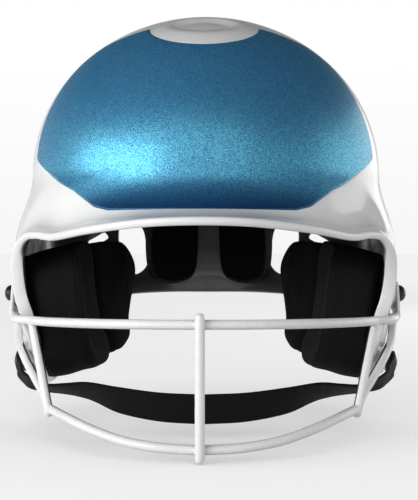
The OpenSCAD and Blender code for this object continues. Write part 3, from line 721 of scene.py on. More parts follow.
class HelmetShellLook(bpy.types.PropertyGroup):
    colour: tint("Colour", "White of the moulded shell", (0.78, 0.79, 0.78))
    # The inner grey is bare plastic, darkened further as painted shade
    inner_colour: tint("Inner colour", "Grey of the bare inner side", (0.11, 0.11, 0.11))
    roughness: amount("Roughness", "Softness of the shell's gloss", 0.17)
    ripple: amount("Ripple", "Strength of the moulding ripple in the gloss", 0.05)
    dish: length("Crown dish", "Depth of the shallow dish in the crown's land", 0.0022, 0, 0.004)


class HelmetPanelLook(bpy.types.PropertyGroup):
    colour: tint("Colour", "Colour of the metallic panel", (0.001, 0.012, 0.25))
    flake_colour: tint("Flake colour", "Colour of the metal flakes", (0.16, 0.70, 0.78))
    # The low colour and its heights give painted shade towards the panel's lower edge
    painted_shade_colour: tint("Low colour", "Darker colour towards the lower edge", (0.003, 0.02, 0.1))
    painted_shade_from: length("Low colour from", "Height where the darker tone is strongest", 0.021, 0, 0.1)
    painted_shade_to: length("Low colour to", "Height where the darker tone has gone", 0.038, 0, 0.1)
    flake: amount("Flake size", "Size of the flakes, in millimetres", 0.22, 0.1, 2)
    sparkle: amount("Flake share", "Share of the surface covered by flakes", 0.4, 0, 0.9)
    metal: amount("Metal", "Metallic finish of the flakes", 1.0)
    roughness: amount("Roughness", "Softness of the panel's sheen", 0.38, 0.1, 1)
    edge: amount("Edge radius", "Rounding of the panel's edge, in millimetres", 1.3, 0.2, 3)


class HelmetGuardLook(bpy.types.PropertyGroup):
    colour: tint("Colour", "Colour of the wire's coating", (0.81, 0.82, 0.82))
    inner_colour: tint("Inner colour", "Matte black towards the face", (0.012, 0.012, 0.012))
    inner_from: amount("Inner side from", "How far round the wire the black begins", 0.05, -1, 1)
    skin: amount("Coat detail", "Finest detail of the coated wires, in millimetres", 0.55, 0.4, 1.2)


class HelmetPadLook(bpy.types.PropertyGroup):
    colour: tint("Colour", "Colour of the knitted covers", (0.0058, 0.0058, 0.0057))
    knit: amount("Knit size", "Width of one knitted loop, in millimetres", 0.9, 0.3, 3)
    seam: amount("Seam depth", "Depth of the sewn seam round each face, in millimetres", 0.35, 0, 2)


class HelmetStrapLook(bpy.types.PropertyGroup):
    colour: tint("Colour", "Colour of the webbing", (0.0022, 0.0022, 0.0024))
    pick: amount("Pick", "Length of one pick of the weave, in millimetres", 1.3, 0.4, 4)
    rib: amount("Rib", "Width of one pair of ribs, in millimetres", 1.9, 0.4, 4)


class HelmetStageLook(bpy.types.PropertyGroup):
    lens: amount("Lens", "Focal length of the camera, in millimetres", 82.15, 20, 300)
    distance: length("Distance", "From the camera to the middle of the head", 0.7, 0.3, 5)
    swing: amount("Swing", "Turn of the camera round the helmet, in degrees", 1.1, -180, 180)
    key: amount("Key light", "Strength of the soft light at the left, in watts", 12.5, 0, 200)
    side: amount("Side light", "Strength of the soft light at the right, in watts", 4.2, 0, 200)
    front: amount("Front light", "Strength of the light over the camera, in watts", 14.0, 0, 200)
    ambient: amount("Ambient", "Strength of the light from all round", 0.86, 0, 2)
    horizon: amount("Horizon", "Brightness of the backdrop at the level of the floor", 0.92)
    floor_near: amount("Floor near", "Light added to the floor as seen, under the helmet", 0.6)
    floor_far: amount("Floor far", "Light added to the floor as seen, far away", 0.76)
    dark_front: amount("Dark front", "Brightness of the studio's front in reflections", 0.12)
    ceiling: amount("Ceiling", "Brightness of the studio's ceiling in reflections", 0.03)


LOOKS = [("shell", HelmetShellLook), ("panel", HelmetPanelLook), ("guard", HelmetGuardLook),
         ("pads", HelmetPadLook), ("strap", HelmetStrapLook), ("stage", HelmetStageLook)]


def look_of(name):
    return getattr(bpy.context.scene, "helmet_" + name)


# ---------------------------------------------------------------- shell

def whole_skin():
    """The outer skin and its outward directions as rings round the whole shell."""
    t = np.arange(HALF_STEPS + 1) / HALF_STEPS
    s = np.concatenate([np.arange(1, DOME_RINGS + 1) / DOME_RINGS,
                        1 + np.arange(1, LIP_RINGS + 1) / LIP_RINGS])
    half = shell_point(t[:, None], s[None, :])
    around = np.concatenate([half, flipped(half[-2:0:-1])]).transpose(1, 0, 2)
    ring = np.roll(around, -1, 1) - np.roll(around, 1, 1)
    return around, unit(np.cross(np.gradient(around, axis=0), ring))


def rim_wall(around):
    """Thickness of the wall: the flaps' front edges thicken inward to a broad rim."""
    rings = np.arange(len(around))[:, None] - (DOME_RINGS + LIP_RINGS * RIM_SHARE)
    front = ease((RIM_DEPTH - around[-1][:, 1]) / RIM_DEPTH_FADE)
    front = front * ease((RIM_TOP - around[-1][:, 2]) / RIM_TOP_FADE)
    return WALL_T + FLAP_RIM * ease(rings / (LIP_RINGS * RIM_SHARE)) * front[None, :]


def crown_dish(p, depth):
    """Shallow dish in the crown's land, behind the notch's round end."""
    u, v = p[..., 0] / DISH_HALF_W, (p[..., 1] - DISH_Y) / DISH_HALF_LEN
    inside = np.clip(1 - (u * u + v * v), 0, 1)
    return np.where(p[..., 2] > DOME_Z, depth * ease(inside * DISH_SLOPE), 0)


def lipped_cutter(name, outline, axis, side, flare=1.0):
    """A cutter through the wall whose edge is rounded over where it leaves the skin.

    The axis is 0 for a hole in a side, 1 for the rear and 2 for the crown.
    """
    outline = np.asarray(outline, float)
    before, after = np.roll(outline, 1, 0), np.roll(outline, -1, 0)
    edge = unit(after - before)
    area = 0.5 * np.sum(outline[:, 0] * after[:, 1] - outline[:, 1] * after[:, 0])
    away = np.stack([edge[:, 1], -edge[:, 0]], -1) * np.sign(area)
    d = np.eye(3)[axis] * [side, 1, 1]
    other = [k for k in range(3) if k != axis]

    def ring(grow, lift):
        q = outline + away * grow
        start = np.zeros((len(q), 3))
        start[:, other] = q
        if axis == 1:
            start[:, 0] *= side
        elif axis == 2:
            start[:, 2] = DOME_Z
        hit = skin(start, np.broadcast_to(d, start.shape))
        lean = np.maximum(np.abs(outward(hit) @ d), 0.4)[:, None]
        return hit + d * lift / lean

    outer = [(2.2 * flare, 6), (1.25 * flare, 0.25), (0.7 * flare, -0.12 * flare),
             (0.3 * flare, -0.4 * flare), (0.08 * flare, -0.75 * flare), (0, -1.2 * flare)]
    inner = [(0, 0.7 - WALL_T), (0.3, 0.1 - WALL_T), (0.9, -0.4 - WALL_T), (0.9, -8 - WALL_T)]
    return loft(name, [ring(grow, lift) for grow, lift in outer + inner], 180)


def rounded(points, radius, steps=6):
    """A polygon with its corners rounded."""
    points, out = np.asarray(points, float), []
    n = len(points)
    for i in range(n):
        a, b, c = points[i - 1], points[i], points[(i + 1) % n]
        reach = min(radius, np.linalg.norm(a - b) / 2.2, np.linalg.norm(c - b) / 2.2)
        p, q = b + unit(a - b) * reach, b + unit(c - b) * reach
        for k in range(steps + 1):
            u = k / steps
            out.append((1 - u) ** 2 * p + 2 * u * (1 - u) * b + u * u * q)
    return np.array(out)


def spread(points, gap=1.6):
    """The same outline with points at an even spacing."""
    points = np.asarray(points, float)
    ring = np.vstack([points, points[:1]])
    far = np.concatenate([[0], np.cumsum(np.linalg.norm(np.diff(ring, axis=0), axis=1))])
    count = max(24, int(far[-1] / gap))
    where = np.arange(count) / count * far[-1]
    return np.stack([np.interp(where, far, ring[:, k]) for k in (0, 1)], -1)


def circle(middle, radius, steps=48):
    return middle + radius * full_turn(steps)


def slot_outline(length, width):
    half = (length - width) / 2
    a = np.linspace(-math.pi / 2, math.pi / 2, 13)
    right = np.stack([half + width / 2 * np.cos(a), width / 2 * np.sin(a)], -1)
    return np.vstack([right, -right])


def small_vent_outline():
    w, h = SMALL_VENT_SIZE
    a = math.radians(SMALL_VENT_TILT)
    box = np.array([(-w / 2, -h / 2), (w / 2, -h / 2), (w / 2, h / 2), (-w / 2, h / 2)])
    turn = np.array([[math.cos(a), math.sin(a)], [-math.sin(a), math.cos(a)]])
    return box @ turn + SMALL_VENT_SPOT


def seat(side, spot, low, high):
    """A raised round seat with a soft border, from inside the wall to its face."""
    r = SEAT_D / 2
    profile = [(low, 0), (low, r - 0.6), (low + 0.6, r), (high - 0.8, r + 0.5),
               (high - 0.25, r - 0.1), (high, r - 0.7), (high, 0)]
    return turned("seat", profile, side, spot)


def openings():
    """Cutters for the crown slots, the ear holes and the rear vents."""
    slot = spread(slot_outline(CROWN_SLOT_LEN, CROWN_SLOT_W))
    tools = [lipped_cutter("crown_slot", slot + [0, CROWN_SLOT_FRONT + k * CROWN_SLOT_GAP], 2, 1)
             for k in range(CROWN_SLOTS)]
    ear_hole = circle(EAR_HOLE_SPOT, EAR_HOLE_D / 2)
    large, small = spread(rounded(LARGE_VENT, 4)), spread(rounded(small_vent_outline(), 1.6), 1.0)
    for side in (-1, 1):
        tools.append(lipped_cutter("ear_hole", ear_hole, 0, side, 1.3))
        tools.append(lipped_cutter("large_vent", large, 1, side, 1.2))
        tools.append(lipped_cutter("small_vent", small, 1, side))
    return tools


class HELMET_OT_shell(bpy.types.Operator):
    """Moulds the gloss white shell with its lip, seats, vents and ear holes"""
    bl_idname = "helmet.shell"
    bl_label = "Shell"

    def execute(self, context):
        look = look_of("shell")
        around, out = whole_skin()
        outer = around - out * crown_dish(around, look.dish / MM)[..., None]
        wall = rim_wall(around)
        inner = around - wall[..., None] * out
        # The edge is rolled over in a half turn from the outer to the inner skin
        edge, half_wall = unit(around[-1] - around[-2]), wall[-1][:, None] / 2
        middle = around[-1] - half_wall * out[-1]
        reach = WALL_T * ROLL_DEPTH
        roll = [middle + half_wall * math.cos(a) * out[-1] + reach * math.sin(a) * edge
                for a in np.radians(ROLL_TURNS)]
        top = dome_point(POLE)
        shell = loft("shell_moulded", np.concatenate([outer, roll, inner[::-1]]), 50,
                     (top, top - WALL_T * outward(top)))
        cut(shell, openings())
        seats = []
        for side in (-1, 1):
            seats += [seat(side, spot, SCREW_IN_X, SCREW_FACE_X) for spot in SCREW_SPOTS]
            seats.append(seat(side, SNAP_SPOT, SNAP_IN_X, SNAP_FACE_X))
        bosses = join("shell_seats", seats)
        co, normal = points_of(shell)
        # Inward faces get the grey inner colour: bare plastic, partly painted shade
        facing = -(unit(co - np.array([0, MID_Y, DOME_Z / 2])) * normal).sum(-1)
        mark(shell, "inside", np.clip((facing - BARE_AND_SHADE_FROM) / (BARE_AND_SHADE_FULL - BARE_AND_SHADE_FROM), 0, 1))
        mat = gloss_white(look)
        shade(shell, 42)
        shade(bosses, 42)
        dress(shell, mat, stands_for=["shell"])
        dress(bosses, mat)
        return {"FINISHED"}


# ---------------------------------------------------------------- crown panel

def in_notch(p):
    round_end = np.hypot(p[..., 0] / NOTCH_W, (p[..., 1] - NOTCH_FRONT) / NOTCH_NOSE) < 1
    return np.where(p[..., 1] > NOTCH_FRONT, np.abs(p[..., 0]) < NOTCH_W, round_end)


def is_bare(p):
    return in_notch(p) | (p[..., 1] > np.interp(p[..., 2], PANEL_SIDE[:, 0], PANEL_SIDE[:, 1]))


def above_edge(p):
    angle = np.degrees(np.arctan2(np.abs(p[..., 0]), -p[..., 1]))
    return p[..., 2] > np.interp(angle, PANEL_EDGE[:, 0], PANEL_EDGE[:, 1])


def find_s(t, low, high, test):
    """How far along its path each t leaves the region that the test names."""
    lo, hi = np.full(t.shape, low), np.full(t.shape, high)
    for _ in range(16):
        mid = (lo + hi) / 2
        on = test(shell_point(t, mid))
        lo, hi = np.where(on, mid, lo), np.where(on, hi, mid)
    return (lo + hi) / 2


def panel_span(t):
    return find_s(t, 0.0, 1.0, is_bare), find_s(t, 0.3, 1.8, above_edge)


def panel_end():
    """Where the panel's side edge meets its lower edge, along the shell's edge."""
    lo, hi = 0.2, 0.8
    for _ in range(14):
        t = (lo + hi) / 2
        top, low = panel_span(np.array([t]))
        lo, hi = (t, hi) if low[0] - top[0] > PANEL_TIP else (lo, t)
    return lo


class HELMET_OT_panel(bpy.types.Operator):
    """Lays the metallic blue panel over the dome, round the notch at the crown"""
    bl_idname = "helmet.panel"
    bl_label = "Crown panel"

    def execute(self, context):
        look = look_of("panel")
        t = panel_end() * np.arange(PANEL_STEPS + 1) / PANEL_STEPS
        low, high = panel_span(t)
        share = np.arange(PANEL_RINGS + 1) / PANEL_RINGS
        half = shell_point(t[:, None], low[:, None] + (high - low)[:, None] * share)
        rows = np.concatenate([flipped(half[:0:-1]), half])
        out = unit(np.cross(np.gradient(rows, axis=1), np.gradient(rows, axis=0)))
        # The distance to the panel's edge rounds the face down to the shell
        edges = [rows[:, :1], rows[:, -1:], rows[0, PANEL_RINGS // 2], rows[-1, PANEL_RINGS // 2]]
        away = np.min([np.linalg.norm(rows - edge, axis=-1) for edge in edges], axis=0)
        r = look.edge
        drop = np.where(away < r, r - np.sqrt(np.maximum(0, r * r - (r - away) ** 2)), 0)
        face = rows + (PANEL_PROUD - np.minimum(drop, r)[..., None] * PANEL_PROUD / r * 0.9) * out
        count, wide = rows.shape[:2]
        grid = face.reshape(-1, 3)
        faces = strip_faces(count, wide, closed=False)
        # A short wall runs down from the border into the shell
        number = np.arange(count * wide).reshape(count, wide)
        border = np.concatenate([number[0], number[1:, -1], number[-1, -2::-1], number[-2:0:-1, 0]])
        sunk = (rows - PANEL_SUNK * out).reshape(-1, 3)[border]
        start, n = len(grid), len(border)
        for k in range(n):
            after = (k + 1) % n
            faces.append((border[k], border[after], start + after, start + k))
        panel = make_object("crown_panel_skin", np.vstack([grid, sunk]), faces, 60)
        if panel.data.polygons[len(panel.data.polygons) // 3].normal.z < 0:
            panel.data.flip_normals()
        dress(panel, flake_blue(look), stands_for=["crown_panel"])
        return {"FINISHED"}


# ---------------------------------------------------------------- face guard

def top_bar_path():
    sag = GUARD_REACH + GUARD_CORNER[1]
    half = GUARD_CORNER[0]
    r = (half * half + sag * sag) / (2 * sag)
    reach, tilt = math.asin(half / r), math.atan2(TOP_RISE, sag)
    a = np.linspace(-reach, reach, 120)
    y = r - sag - r * np.cos(a)
    return np.stack([r * np.sin(a), GUARD_CORNER[1] + y * math.cos(tilt),
                     GUARD_CORNER[2] - y * math.sin(tilt)], -1)


def bottom_bar_path():
    front = np.array([0, -GUARD_REACH, BOTTOM_BAR_Z])
    half = on_curve(front + BOTTOM_SHAPE * (GUARD_FOOT - front), np.linspace(0, 1, 70))
    return np.concatenate([flipped(half[:0:-1]), half])


def loop_path(side):
    """From the corner of the top bar back to the screws, and down to the bottom bar."""
    x = SCREW_FACE_X - WIRE_D / 2 + LOOP_LAP
    turn = [(x, -48, TOP_BAR_Z), (x, -38, -39.5), (x, -36.5, -45)]
    return on_curve(LOOP_BEND + turn + LOOP_RETURN, np.linspace(0, 1, 140)) * [side, 1, 1]


def hull_of(points):
    """The points of a flat cloud that lie on its outer border, in order."""
    order, todo = [], sorted(map(tuple, points.round(4)))
    for walk in (todo, todo[::-1]):
        chain = []
        for p in walk:
            while len(chain) > 1:
                a, b = chain[-2:]
                if (b[0] - a[0]) * (p[1] - a[1]) - (b[1] - a[1]) * (p[0] - a[0]) > 0:
                    break
                chain.pop()
            chain.append(p)
        order += chain[:-1]
    return np.array(order)


def tab_plate(side):
    """Steel tab round the two screws and down onto the loop."""
    spots = [circle(spot, TAB_R, 40) for spot in SCREW_SPOTS]
    spots += [circle((y, TOP_BAR_Z + 1), TAB_FOOT_R, 24) for y in TAB_FOOT]
    outline = hull_of(np.vstack(spots))
    rows = [np.column_stack([np.full(len(outline), side * x), outline])
            for x in (SCREW_FACE_X, SCREW_FACE_X + TAB_T)]
    return loft("tab", rows, 30)


def wire_paths():
    """Middle lines of the guard's seven wires."""
    bar_y = -GUARD_REACH - WIRE_D + WELD
    low, high = BOTTOM_BAR_Z - BAR_OVERHANG, TOP_BAR_Z + TOP_RISE + BAR_OVERHANG
    paths = [top_bar_path(), bottom_bar_path(),
             np.array([[0, bar_y, z] for z in np.linspace(low, high, 40)])]
    for side in (-1, 1):
        paths.append(loop_path(side))
        foot, corner = UPRIGHT_FOOT * [side, 1, 1], GUARD_CORNER * [side, 1, 1]
        paths.append(foot + (corner - foot) * np.linspace(0, 1, 36)[:, None])
    return paths


class HELMET_OT_guard(bpy.types.Operator):
    """Bends, welds and coats the wires of the face guard, with its tabs"""
    bl_idname = "helmet.guard"
    bl_label = "Face guard"

    def execute(self, context):
        look = look_of("guard")
        parts = [loft("wire", sweep(path, WIRE_D / 2 + COAT_T), 60) for path in wire_paths()]
        parts += [tab_plate(side) for side in (-1, 1)]
        # The coat runs over the welds as one skin
        guard = join("guard_coated_wires", parts)
        remesh = guard.modifiers.new("coat", "REMESH")
        remesh.mode, remesh.voxel_size = "VOXEL", look.skin * MM
        smooth = guard.modifiers.new("soften", "SMOOTH")
        smooth.factor, smooth.iterations = SMOOTHING, SMOOTH_ROUNDS
        bake(guard)
        low, high, r = SCREW_FACE_X - 4, SCREW_FACE_X + 6, SCREW_D / 2 + BORE_SLACK
        bore = [(low, 0), (low, r), (high, r), (high, 0)]
        cut(guard, [turned("bore", bore, side, spot) for side in (-1, 1) for spot in SCREW_SPOTS])
        shade(guard, 50)
        co, normal = points_of(guard)
        inward = unit(np.stack([-co[:, 0], FACE_Y - co[:, 1], 0 * co[:, 2]], -1))
        value = 0.5 + ((normal * inward).sum(-1) - look.inner_from)
        # The loops' rear ends and the tabs are white all round
        mark(guard, "face_side", np.where(np.abs(co[:, 0]) > WHITE_FROM, 0, value))
        dress(guard, wire_coat(look), stands_for=[
            "guard_top_bar", "guard_bottom_bar", "guard_centre_bar", "guard_upright_left",
            "guard_upright_right", "guard_loop_left", "guard_loop_right", "guard_tab_left",
            "guard_tab_right"])
        return {"FINISHED"}


# ---------------------------------------------------------------- screws and snaps

def cross_recess(side, spot, x):
    """Cutters for the driver's cross in a screw head whose top is at x."""
    tools = []
    for turn in (CROSS_TURN, CROSS_TURN + math.pi / 2):
        a = np.array([math.cos(turn), math.sin(turn)]) * CROSS_W / 2
        b = np.array([-math.sin(turn), math.cos(turn)]) * CROSS_BLADE / 2
        rows = []
        for at, grow in ((x + 1, 1.15), (x - CROSS_DEPTH * 0.3, 1.0), (x - CROSS_DEPTH, 0.45)):
            ring = [spot + a * grow * i + b * j for i, j in ((1, 1), (-1, 1), (-1, -1), (1, -1))]
            rows.append([[side * at, p[0], p[1]] for p in ring])
        tools.append(loft("driver_cross", rows, 10))
    return tools


class HELMET_OT_fasteners(bpy.types.Operator):
    """Turns the domed screws with their driver crosses and finishes the nuts"""
    bl_idname = "helmet.fasteners"
    bl_label = "Screws and nuts"

    def execute(self, context):
        face, r, h = SCREW_FACE_X + TAB_T, SCREW_HEAD_D / 2, SCREW_HEAD_H
        dome = [(face + 0.02, 0), (face + 0.02, r - 0.35), (face + 0.25, r - 0.08), (face + 0.6, r)]
        dome += [(face + 0.6 + (h - 0.65) * math.sin(q), r * math.cos(q) ** 0.9)
                 for q in np.radians([12, 24, 36, 48, 60, 72, 83])] + [(face + h, 0)]
        low, high = SCREW_IN_X + 0.5, face + 0.3
        shank = [(low, 0), (low, SCREW_D / 2), (high, SCREW_D / 2), (high, 0)]
        parts = []
        for side in (-1, 1):
            for spot in SCREW_SPOTS:
                head = turned("screw", dome, side, spot, 56, 30)
                cut(head, cross_recess(side, np.array(spot), face + h))
                parts += [head, turned("shank", shank, side, spot)]
        screws = join("guard_screw_heads", parts)
        shade(screws, 32)
        blackened = dark_metal("black_steel_screws", (0.014, 0.014, 0.015), 0.35, 0.3, 0.46, 0.2)
        dress(screws, blackened, stands_for=["guard_screws"])
        worn = dark_metal("black_steel_nuts", (0.05, 0.05, 0.052), 0.8, 0.35, 0.5, 0.25)
        dress_node("guard_nuts", worn)
        return {"FINISHED"}


class HELMET_OT_snaps(bpy.types.Operator):
    """Turns the strap's snap caps and sockets and finishes the studs"""
    bl_idname = "helmet.snaps"
    bl_label = "Strap snaps"

    def execute(self, context):
        base, low, r, bore = STRAP_X + STRAP_T, SOCKET_X, SNAP_OUTER_D / 2, SNAP_D / 2 + FIT
        cap = [(base, 0), (base, r - 0.5), (base + 0.2, r - 0.1), (base + 0.6, r),
               (base + 1.1, r - 0.15), (base + 1.5, r - 0.7), (base + 1.42, r - 1.2),
               (base + 1.75, r - 1.6), (base + 2.3, r - 3), (base + 2.7, r - 4.4),
               (base + CAP_H - 0.05, 0.6), (base + CAP_H - 0.05, 0)]
        socket = [(low + 2.2, 0), (low + 2.2, bore), (low + 0.3, bore), (low, bore + 0.4),
                  (low, r - 0.7), (low + 0.4, r - 0.1), (low + 0.9, r), (STRAP_X - 0.5, r),
                  (STRAP_X, r - 0.4), (STRAP_X, 0)]
        mat = moulded_black()
        for name, profile, node in (("snap_cap_domes", cap, "snap_caps"),
                                    ("snap_socket_rings", socket, "snap_sockets")):
            piece = join(name, [turned("half", profile, side, SNAP_SPOT) for side in (-1, 1)])
            shade(piece, 32)
            dress(piece, mat, "strap", [node])
        plated = dark_metal("plated_steel_studs", (0.55, 0.55, 0.54), 1.0, 0.22, 0.36, 0.12)
        dress_node("snap_studs", plated)
        return {"FINISHED"}


# ---------------------------------------------------------------- chin strap

def strap_line():
    """Half of the strap's middle line from its end to the chin: place and turn in degrees."""
    x = STRAP_X + STRAP_T / 2
    return [[x, -8, -63, 0], [x, -20, -66, 0], [x, -29, -68.3, -2], [105.3, -42, -71.4, -12],
            [101, -52.5, -73.8, -30], [92.5, -61, -75.8, -55], [82, -68.5, -77, -68],
            [71, -75, -77, -62], [60, -80.5, -77.5, -48], [45, -86, -81, -34],
            [23, -90.5, -84, -28], [0, -92, -85, -26]]


def strap_section():
    """Flat faces and rounded selvedges, as (across, share of half the thickness)."""
    w = STRAP_W / 2
    selvedge = [(w, 0), (w - 0.25, 0.55), (w - 0.8, 0.95), (w - 1.7, 1.0), (w - 2.2, 0.84),
                (w - 2.8, 0.95)]
    upper = selvedge + [(q, 0.97) for q in np.linspace(w - 3.6, 0, 6)]
    ring = upper + [(-a, b) for a, b in upper[-2::-1]]
    return np.array(ring + [(a, -b) for a, b in ring[-2:0:-1]])


class HELMET_OT_strap(bpy.types.Operator):
    """Weaves the flat chin strap from snap to snap"""
    bl_idname = "helmet.strap"
    bl_label = "Chin strap"

    def execute(self, context):
        half = on_curve(strap_line(), np.linspace(0, 1, STRAP_STEPS + 1))
        along = unit(np.gradient(half[:, :3], axis=0))
        along[-1] = [-1, 0, 0]
        upright = unit(np.array([0, 0, 1.0]) - along * along[:, 2:3])
        turn = np.radians(half[:, 3:4])
        up = np.cos(turn) * upright + np.sin(turn) * np.cross(along, upright)
        thick = np.cross(along, up)
        far = np.linalg.norm(np.diff(half[:, :3], axis=0), axis=1)
        far = np.concatenate([[0], np.cumsum(far)])
        # The webbing gathers towards the snaps, and its ends are cut round
        nose = np.clip((far + NOSE_START) / NOSE_LEN, 0, 1)
        width = STRAP_NARROW + (1 - STRAP_NARROW) * ease((far - STRAP_WIDENS) / STRAP_WIDENING)
        width = width * (NOSE_SHARE + (1 - NOSE_SHARE) * np.sqrt(1 - (1 - nose) ** 2))
        ring = strap_section()
        rows = (half[:, None, :3] + ring[None, :, 0:1] * width[:, None, None] * up[:, None]
                + STRAP_T / 2 * ring[None, :, 1:2] * thick[:, None])
        whole = np.concatenate([rows, flipped(rows[-2::-1])])
        strap = loft("chin_strap_webbing", whole, 45)
        # Each point's length along and width across carry the weave
        lay = np.concatenate([far, 2 * far[-1] - far[-2::-1]])
        place = {tuple(np.round(p * MM, 6)): (lay[i], ring[k, 0]) for i, row in enumerate(whole)
                 for k, p in enumerate(row)}
        spots = [place.get(tuple(np.round(np.array(v.co), 6)), (0.0, 0.0))
                 for v in strap.data.vertices]
        uv = strap.data.uv_layers.new(name="webbing")
        for corner in strap.data.loops:
            uv.data[corner.index].uv = spots[corner.vertex_index]
        dress(strap, woven(look_of("strap")), "strap", ["chin_strap"])
        return {"FINISHED"}


# ---------------------------------------------------------------- pads

def drawn_in(p):
    """How far the pads of the flaps keep in from the front and lower rims."""
    front = ease((-p[..., 0] - DRAW_IN_FRONT) / DRAW_IN_LEN)
    low = ease((-p[..., 1] - DRAW_IN_LOW) / DRAW_IN_LEN)
    return FLAP_DRAW_IN * np.maximum(front, low)


def on_side(side):
    """Places (depth, height) and a rise from the flap of the side."""
    def place(p, rise):
        x = side_x(p[..., 0], p[..., 1]) - WALL_T * FLAP_WALL - PAD_GAP - drawn_in(p)
        return np.stack([side * (x - rise), p[..., 0], p[..., 1] + PAD_LEAN * rise], -1)
    return place


def off_wall(skin_point, rise):
    return skin_point - outward(skin_point) * (LEAN_WALL + PAD_GAP + rise)[..., None]


def on_dome(p, rise):
    """Places (degrees round, degrees up) and a rise from the dome."""
    a, e = np.radians(p[..., 0]), np.radians(p[..., 1])
    toward = np.stack([np.sin(a) * np.cos(e), -np.cos(a) * np.cos(e), np.sin(e)], -1)
    return off_wall(dome_point(toward), rise)


def on_crown(p, rise):
    """Places (across, depth) and a rise from the top of the dome."""
    start = np.concatenate([p, np.full(p.shape[:-1] + (1,), DOME_Z)], -1)
    return off_wall(skin(start, np.array([0, 0, 1.0])), rise)


def foam_pad(name, outline, middle, thick, place, seam):
    """A crowned foam pad in a sewn cover: drawn-in sides and a seam round its face."""
    middle, outline = np.array(middle, float), np.asarray(outline, float)

    def scaled(share):
        return middle + (outline - middle) * share

    rows = [place(scaled(share), np.zeros(len(outline))) for share in PAD_BACK]
    for share, rise in on_curve(PAD_SIDE, np.linspace(0, 1, PAD_ROWS)):
        tuck = seam * math.exp(-((rise - SEAM_RISE) / SEAM_W) ** 2) * (share > 0.9)
        pulled = middle + (scaled(share) - middle) * (1 - tuck / SEAM_PULL)
        rows.append(place(pulled, thick(scaled(share)) * rise - tuck * SEAM_SINK))
    rows += [place(scaled(share), thick(scaled(share)) * PAD_TOP_RISE) for share in PAD_TOP]
    return loft(name, rows, 75)


def even(thick):
    return lambda p: np.full(p.shape[:-1], thick)


def growing(thick, front, run):
    """Thickness that grows from a share at the front of the run to the whole at its rear."""
    return lambda p: thick * (front + (1 - front)
                              * np.clip((p[..., 0] - run[0]) / (run[1] - run[0]), 0, 1))


class HELMET_OT_pads(bpy.types.Operator):
    """Fills and covers the brow, crown, rear, jaw and ear pads"""
    bl_idname = "helmet.pads"
    bl_label = "Pads"

    def execute(self, context):
        look = look_of("pads")
        jaw, ear, rear = [on_ring(outline, PAD_STEPS)
                          for outline in (JAW_OUTLINE, EAR_OUTLINE, REAR_OUTLINE)]
        jaw_thick = growing(JAW_PAD_T, JAW_FRONT, JAW_RUN)
        ear_thick = growing(EAR_PAD_T, EAR_FRONT, EAR_RUN)
        # Name, outline, middle, thickness, where it sits, and depth of the seam
        pads = []
        for side, word in ((-1, "_left"), (1, "_right")):
            flap, rear_middle = on_side(side), (side * REAR_MIDDLE[0], REAR_MIDDLE[1])
            pads += [("jaw_pad", word, jaw, JAW_MIDDLE, jaw_thick, flap, look.seam),
                     ("ear_pad", word, ear, EAR_MIDDLE, ear_thick, flap, look.seam),
                     ("rear_pad", word, rear * [side, 1], rear_middle, even(REAR_PAD_T), on_dome,
                      look.seam * REAR_SEAM)]
        pads.append(("brow_pad", "", on_ring(BROW_OUTLINE, BROW_STEPS), BROW_MIDDLE,
                     even(BROW_PAD_T), on_dome, look.seam))
        pads.append(("crown_pad", "", CROWN_R * full_turn(PAD_STEPS), (0.0, 0.0),
                     even(CROWN_PAD_T), on_crown, look.seam))
        made = [(foam_pad(pad + "_cover" + word, *form), pad + word) for pad, word, *form in pads]
        mat = knit(look)
        for piece, node in made:
            dress(piece, mat, stands_for=[node])
        return {"FINISHED"}


# ---------------------------------------------------------------- stage

def area_light(name, place, size, watts):
    """A soft rectangular light that faces the middle of the helmet."""
    data = bpy.data.lights.new(name, "AREA")
    data.shape, data.size, data.size_y, data.energy = "RECTANGLE", size[0], size[1], watts
    lamp = in_scene(name, data)
    lamp.location = place
    lamp.rotation_euler = (-Vector(place)).to_track_quat("-Z", "Y").to_euler()


def set_camera(look):
    data = bpy.data.cameras.new("camera")
    data.lens, data.sensor_width, data.shift_x = look.lens, SENSOR_W, PICTURE_SHIFT
    data.clip_start, data.clip_end = CLIP_RANGE
    camera = in_scene("camera", data)
    a = math.radians(look.swing)
    camera.location = (look.distance * math.sin(a), -look.distance * math.cos(a), 0)
    camera.rotation_euler = (math.pi / 2, 0, a)
    bpy.context.scene.camera = camera


def shown_share(tree):
    """1 where a surface is seen directly, in a gloss or through glass."""
    path = put(tree, "ShaderNodeLightPath").outputs
    share = sums(tree, "MAXIMUM", path["Is Camera Ray"], path["Is Glossy Ray"])
    return sums(tree, "MAXIMUM", share, path["Is Transmission Ray"])


def pale_floor(look):
    """Pale paper that reads as a lit studio sweep, with a soft shade under the helmet."""
    mat, tree = new_material("floor_paper")
    where = place_of(tree)
    pale = mixed(tree, grain(tree, where, 30, 4), (0.54, 0.54, 0.54, 1), (0.56, 0.56, 0.56, 1))
    base = put(tree, "ShaderNodeBsdfDiffuse", {"Color": pale})
    far = put(tree, "ShaderNodeVectorMath", {0: where}, operation="LENGTH").outputs["Value"]
    near = put(tree, "ShaderNodeAmbientOcclusion", {"Distance": SHADE_REACH}, samples=8)
    shade_share = sums(tree, "POWER", near.outputs["AO"], SHADE_POWER)
    glow = product(tree, span(tree, far, *FLOOR_CHANGE, look.floor_near, look.floor_far),
                   shade_share)
    lift = put(tree, "ShaderNodeEmission", {"Color": (1, 1, 1, 1),
                                            "Strength": product(tree, shown_share(tree), glow)})
    both = put(tree, "ShaderNodeAddShader", {0: base.outputs[0], 1: lift.outputs[0]})
    tree.links.new(both.outputs[0], put(tree, "ShaderNodeOutputMaterial").inputs[0])
    return mat


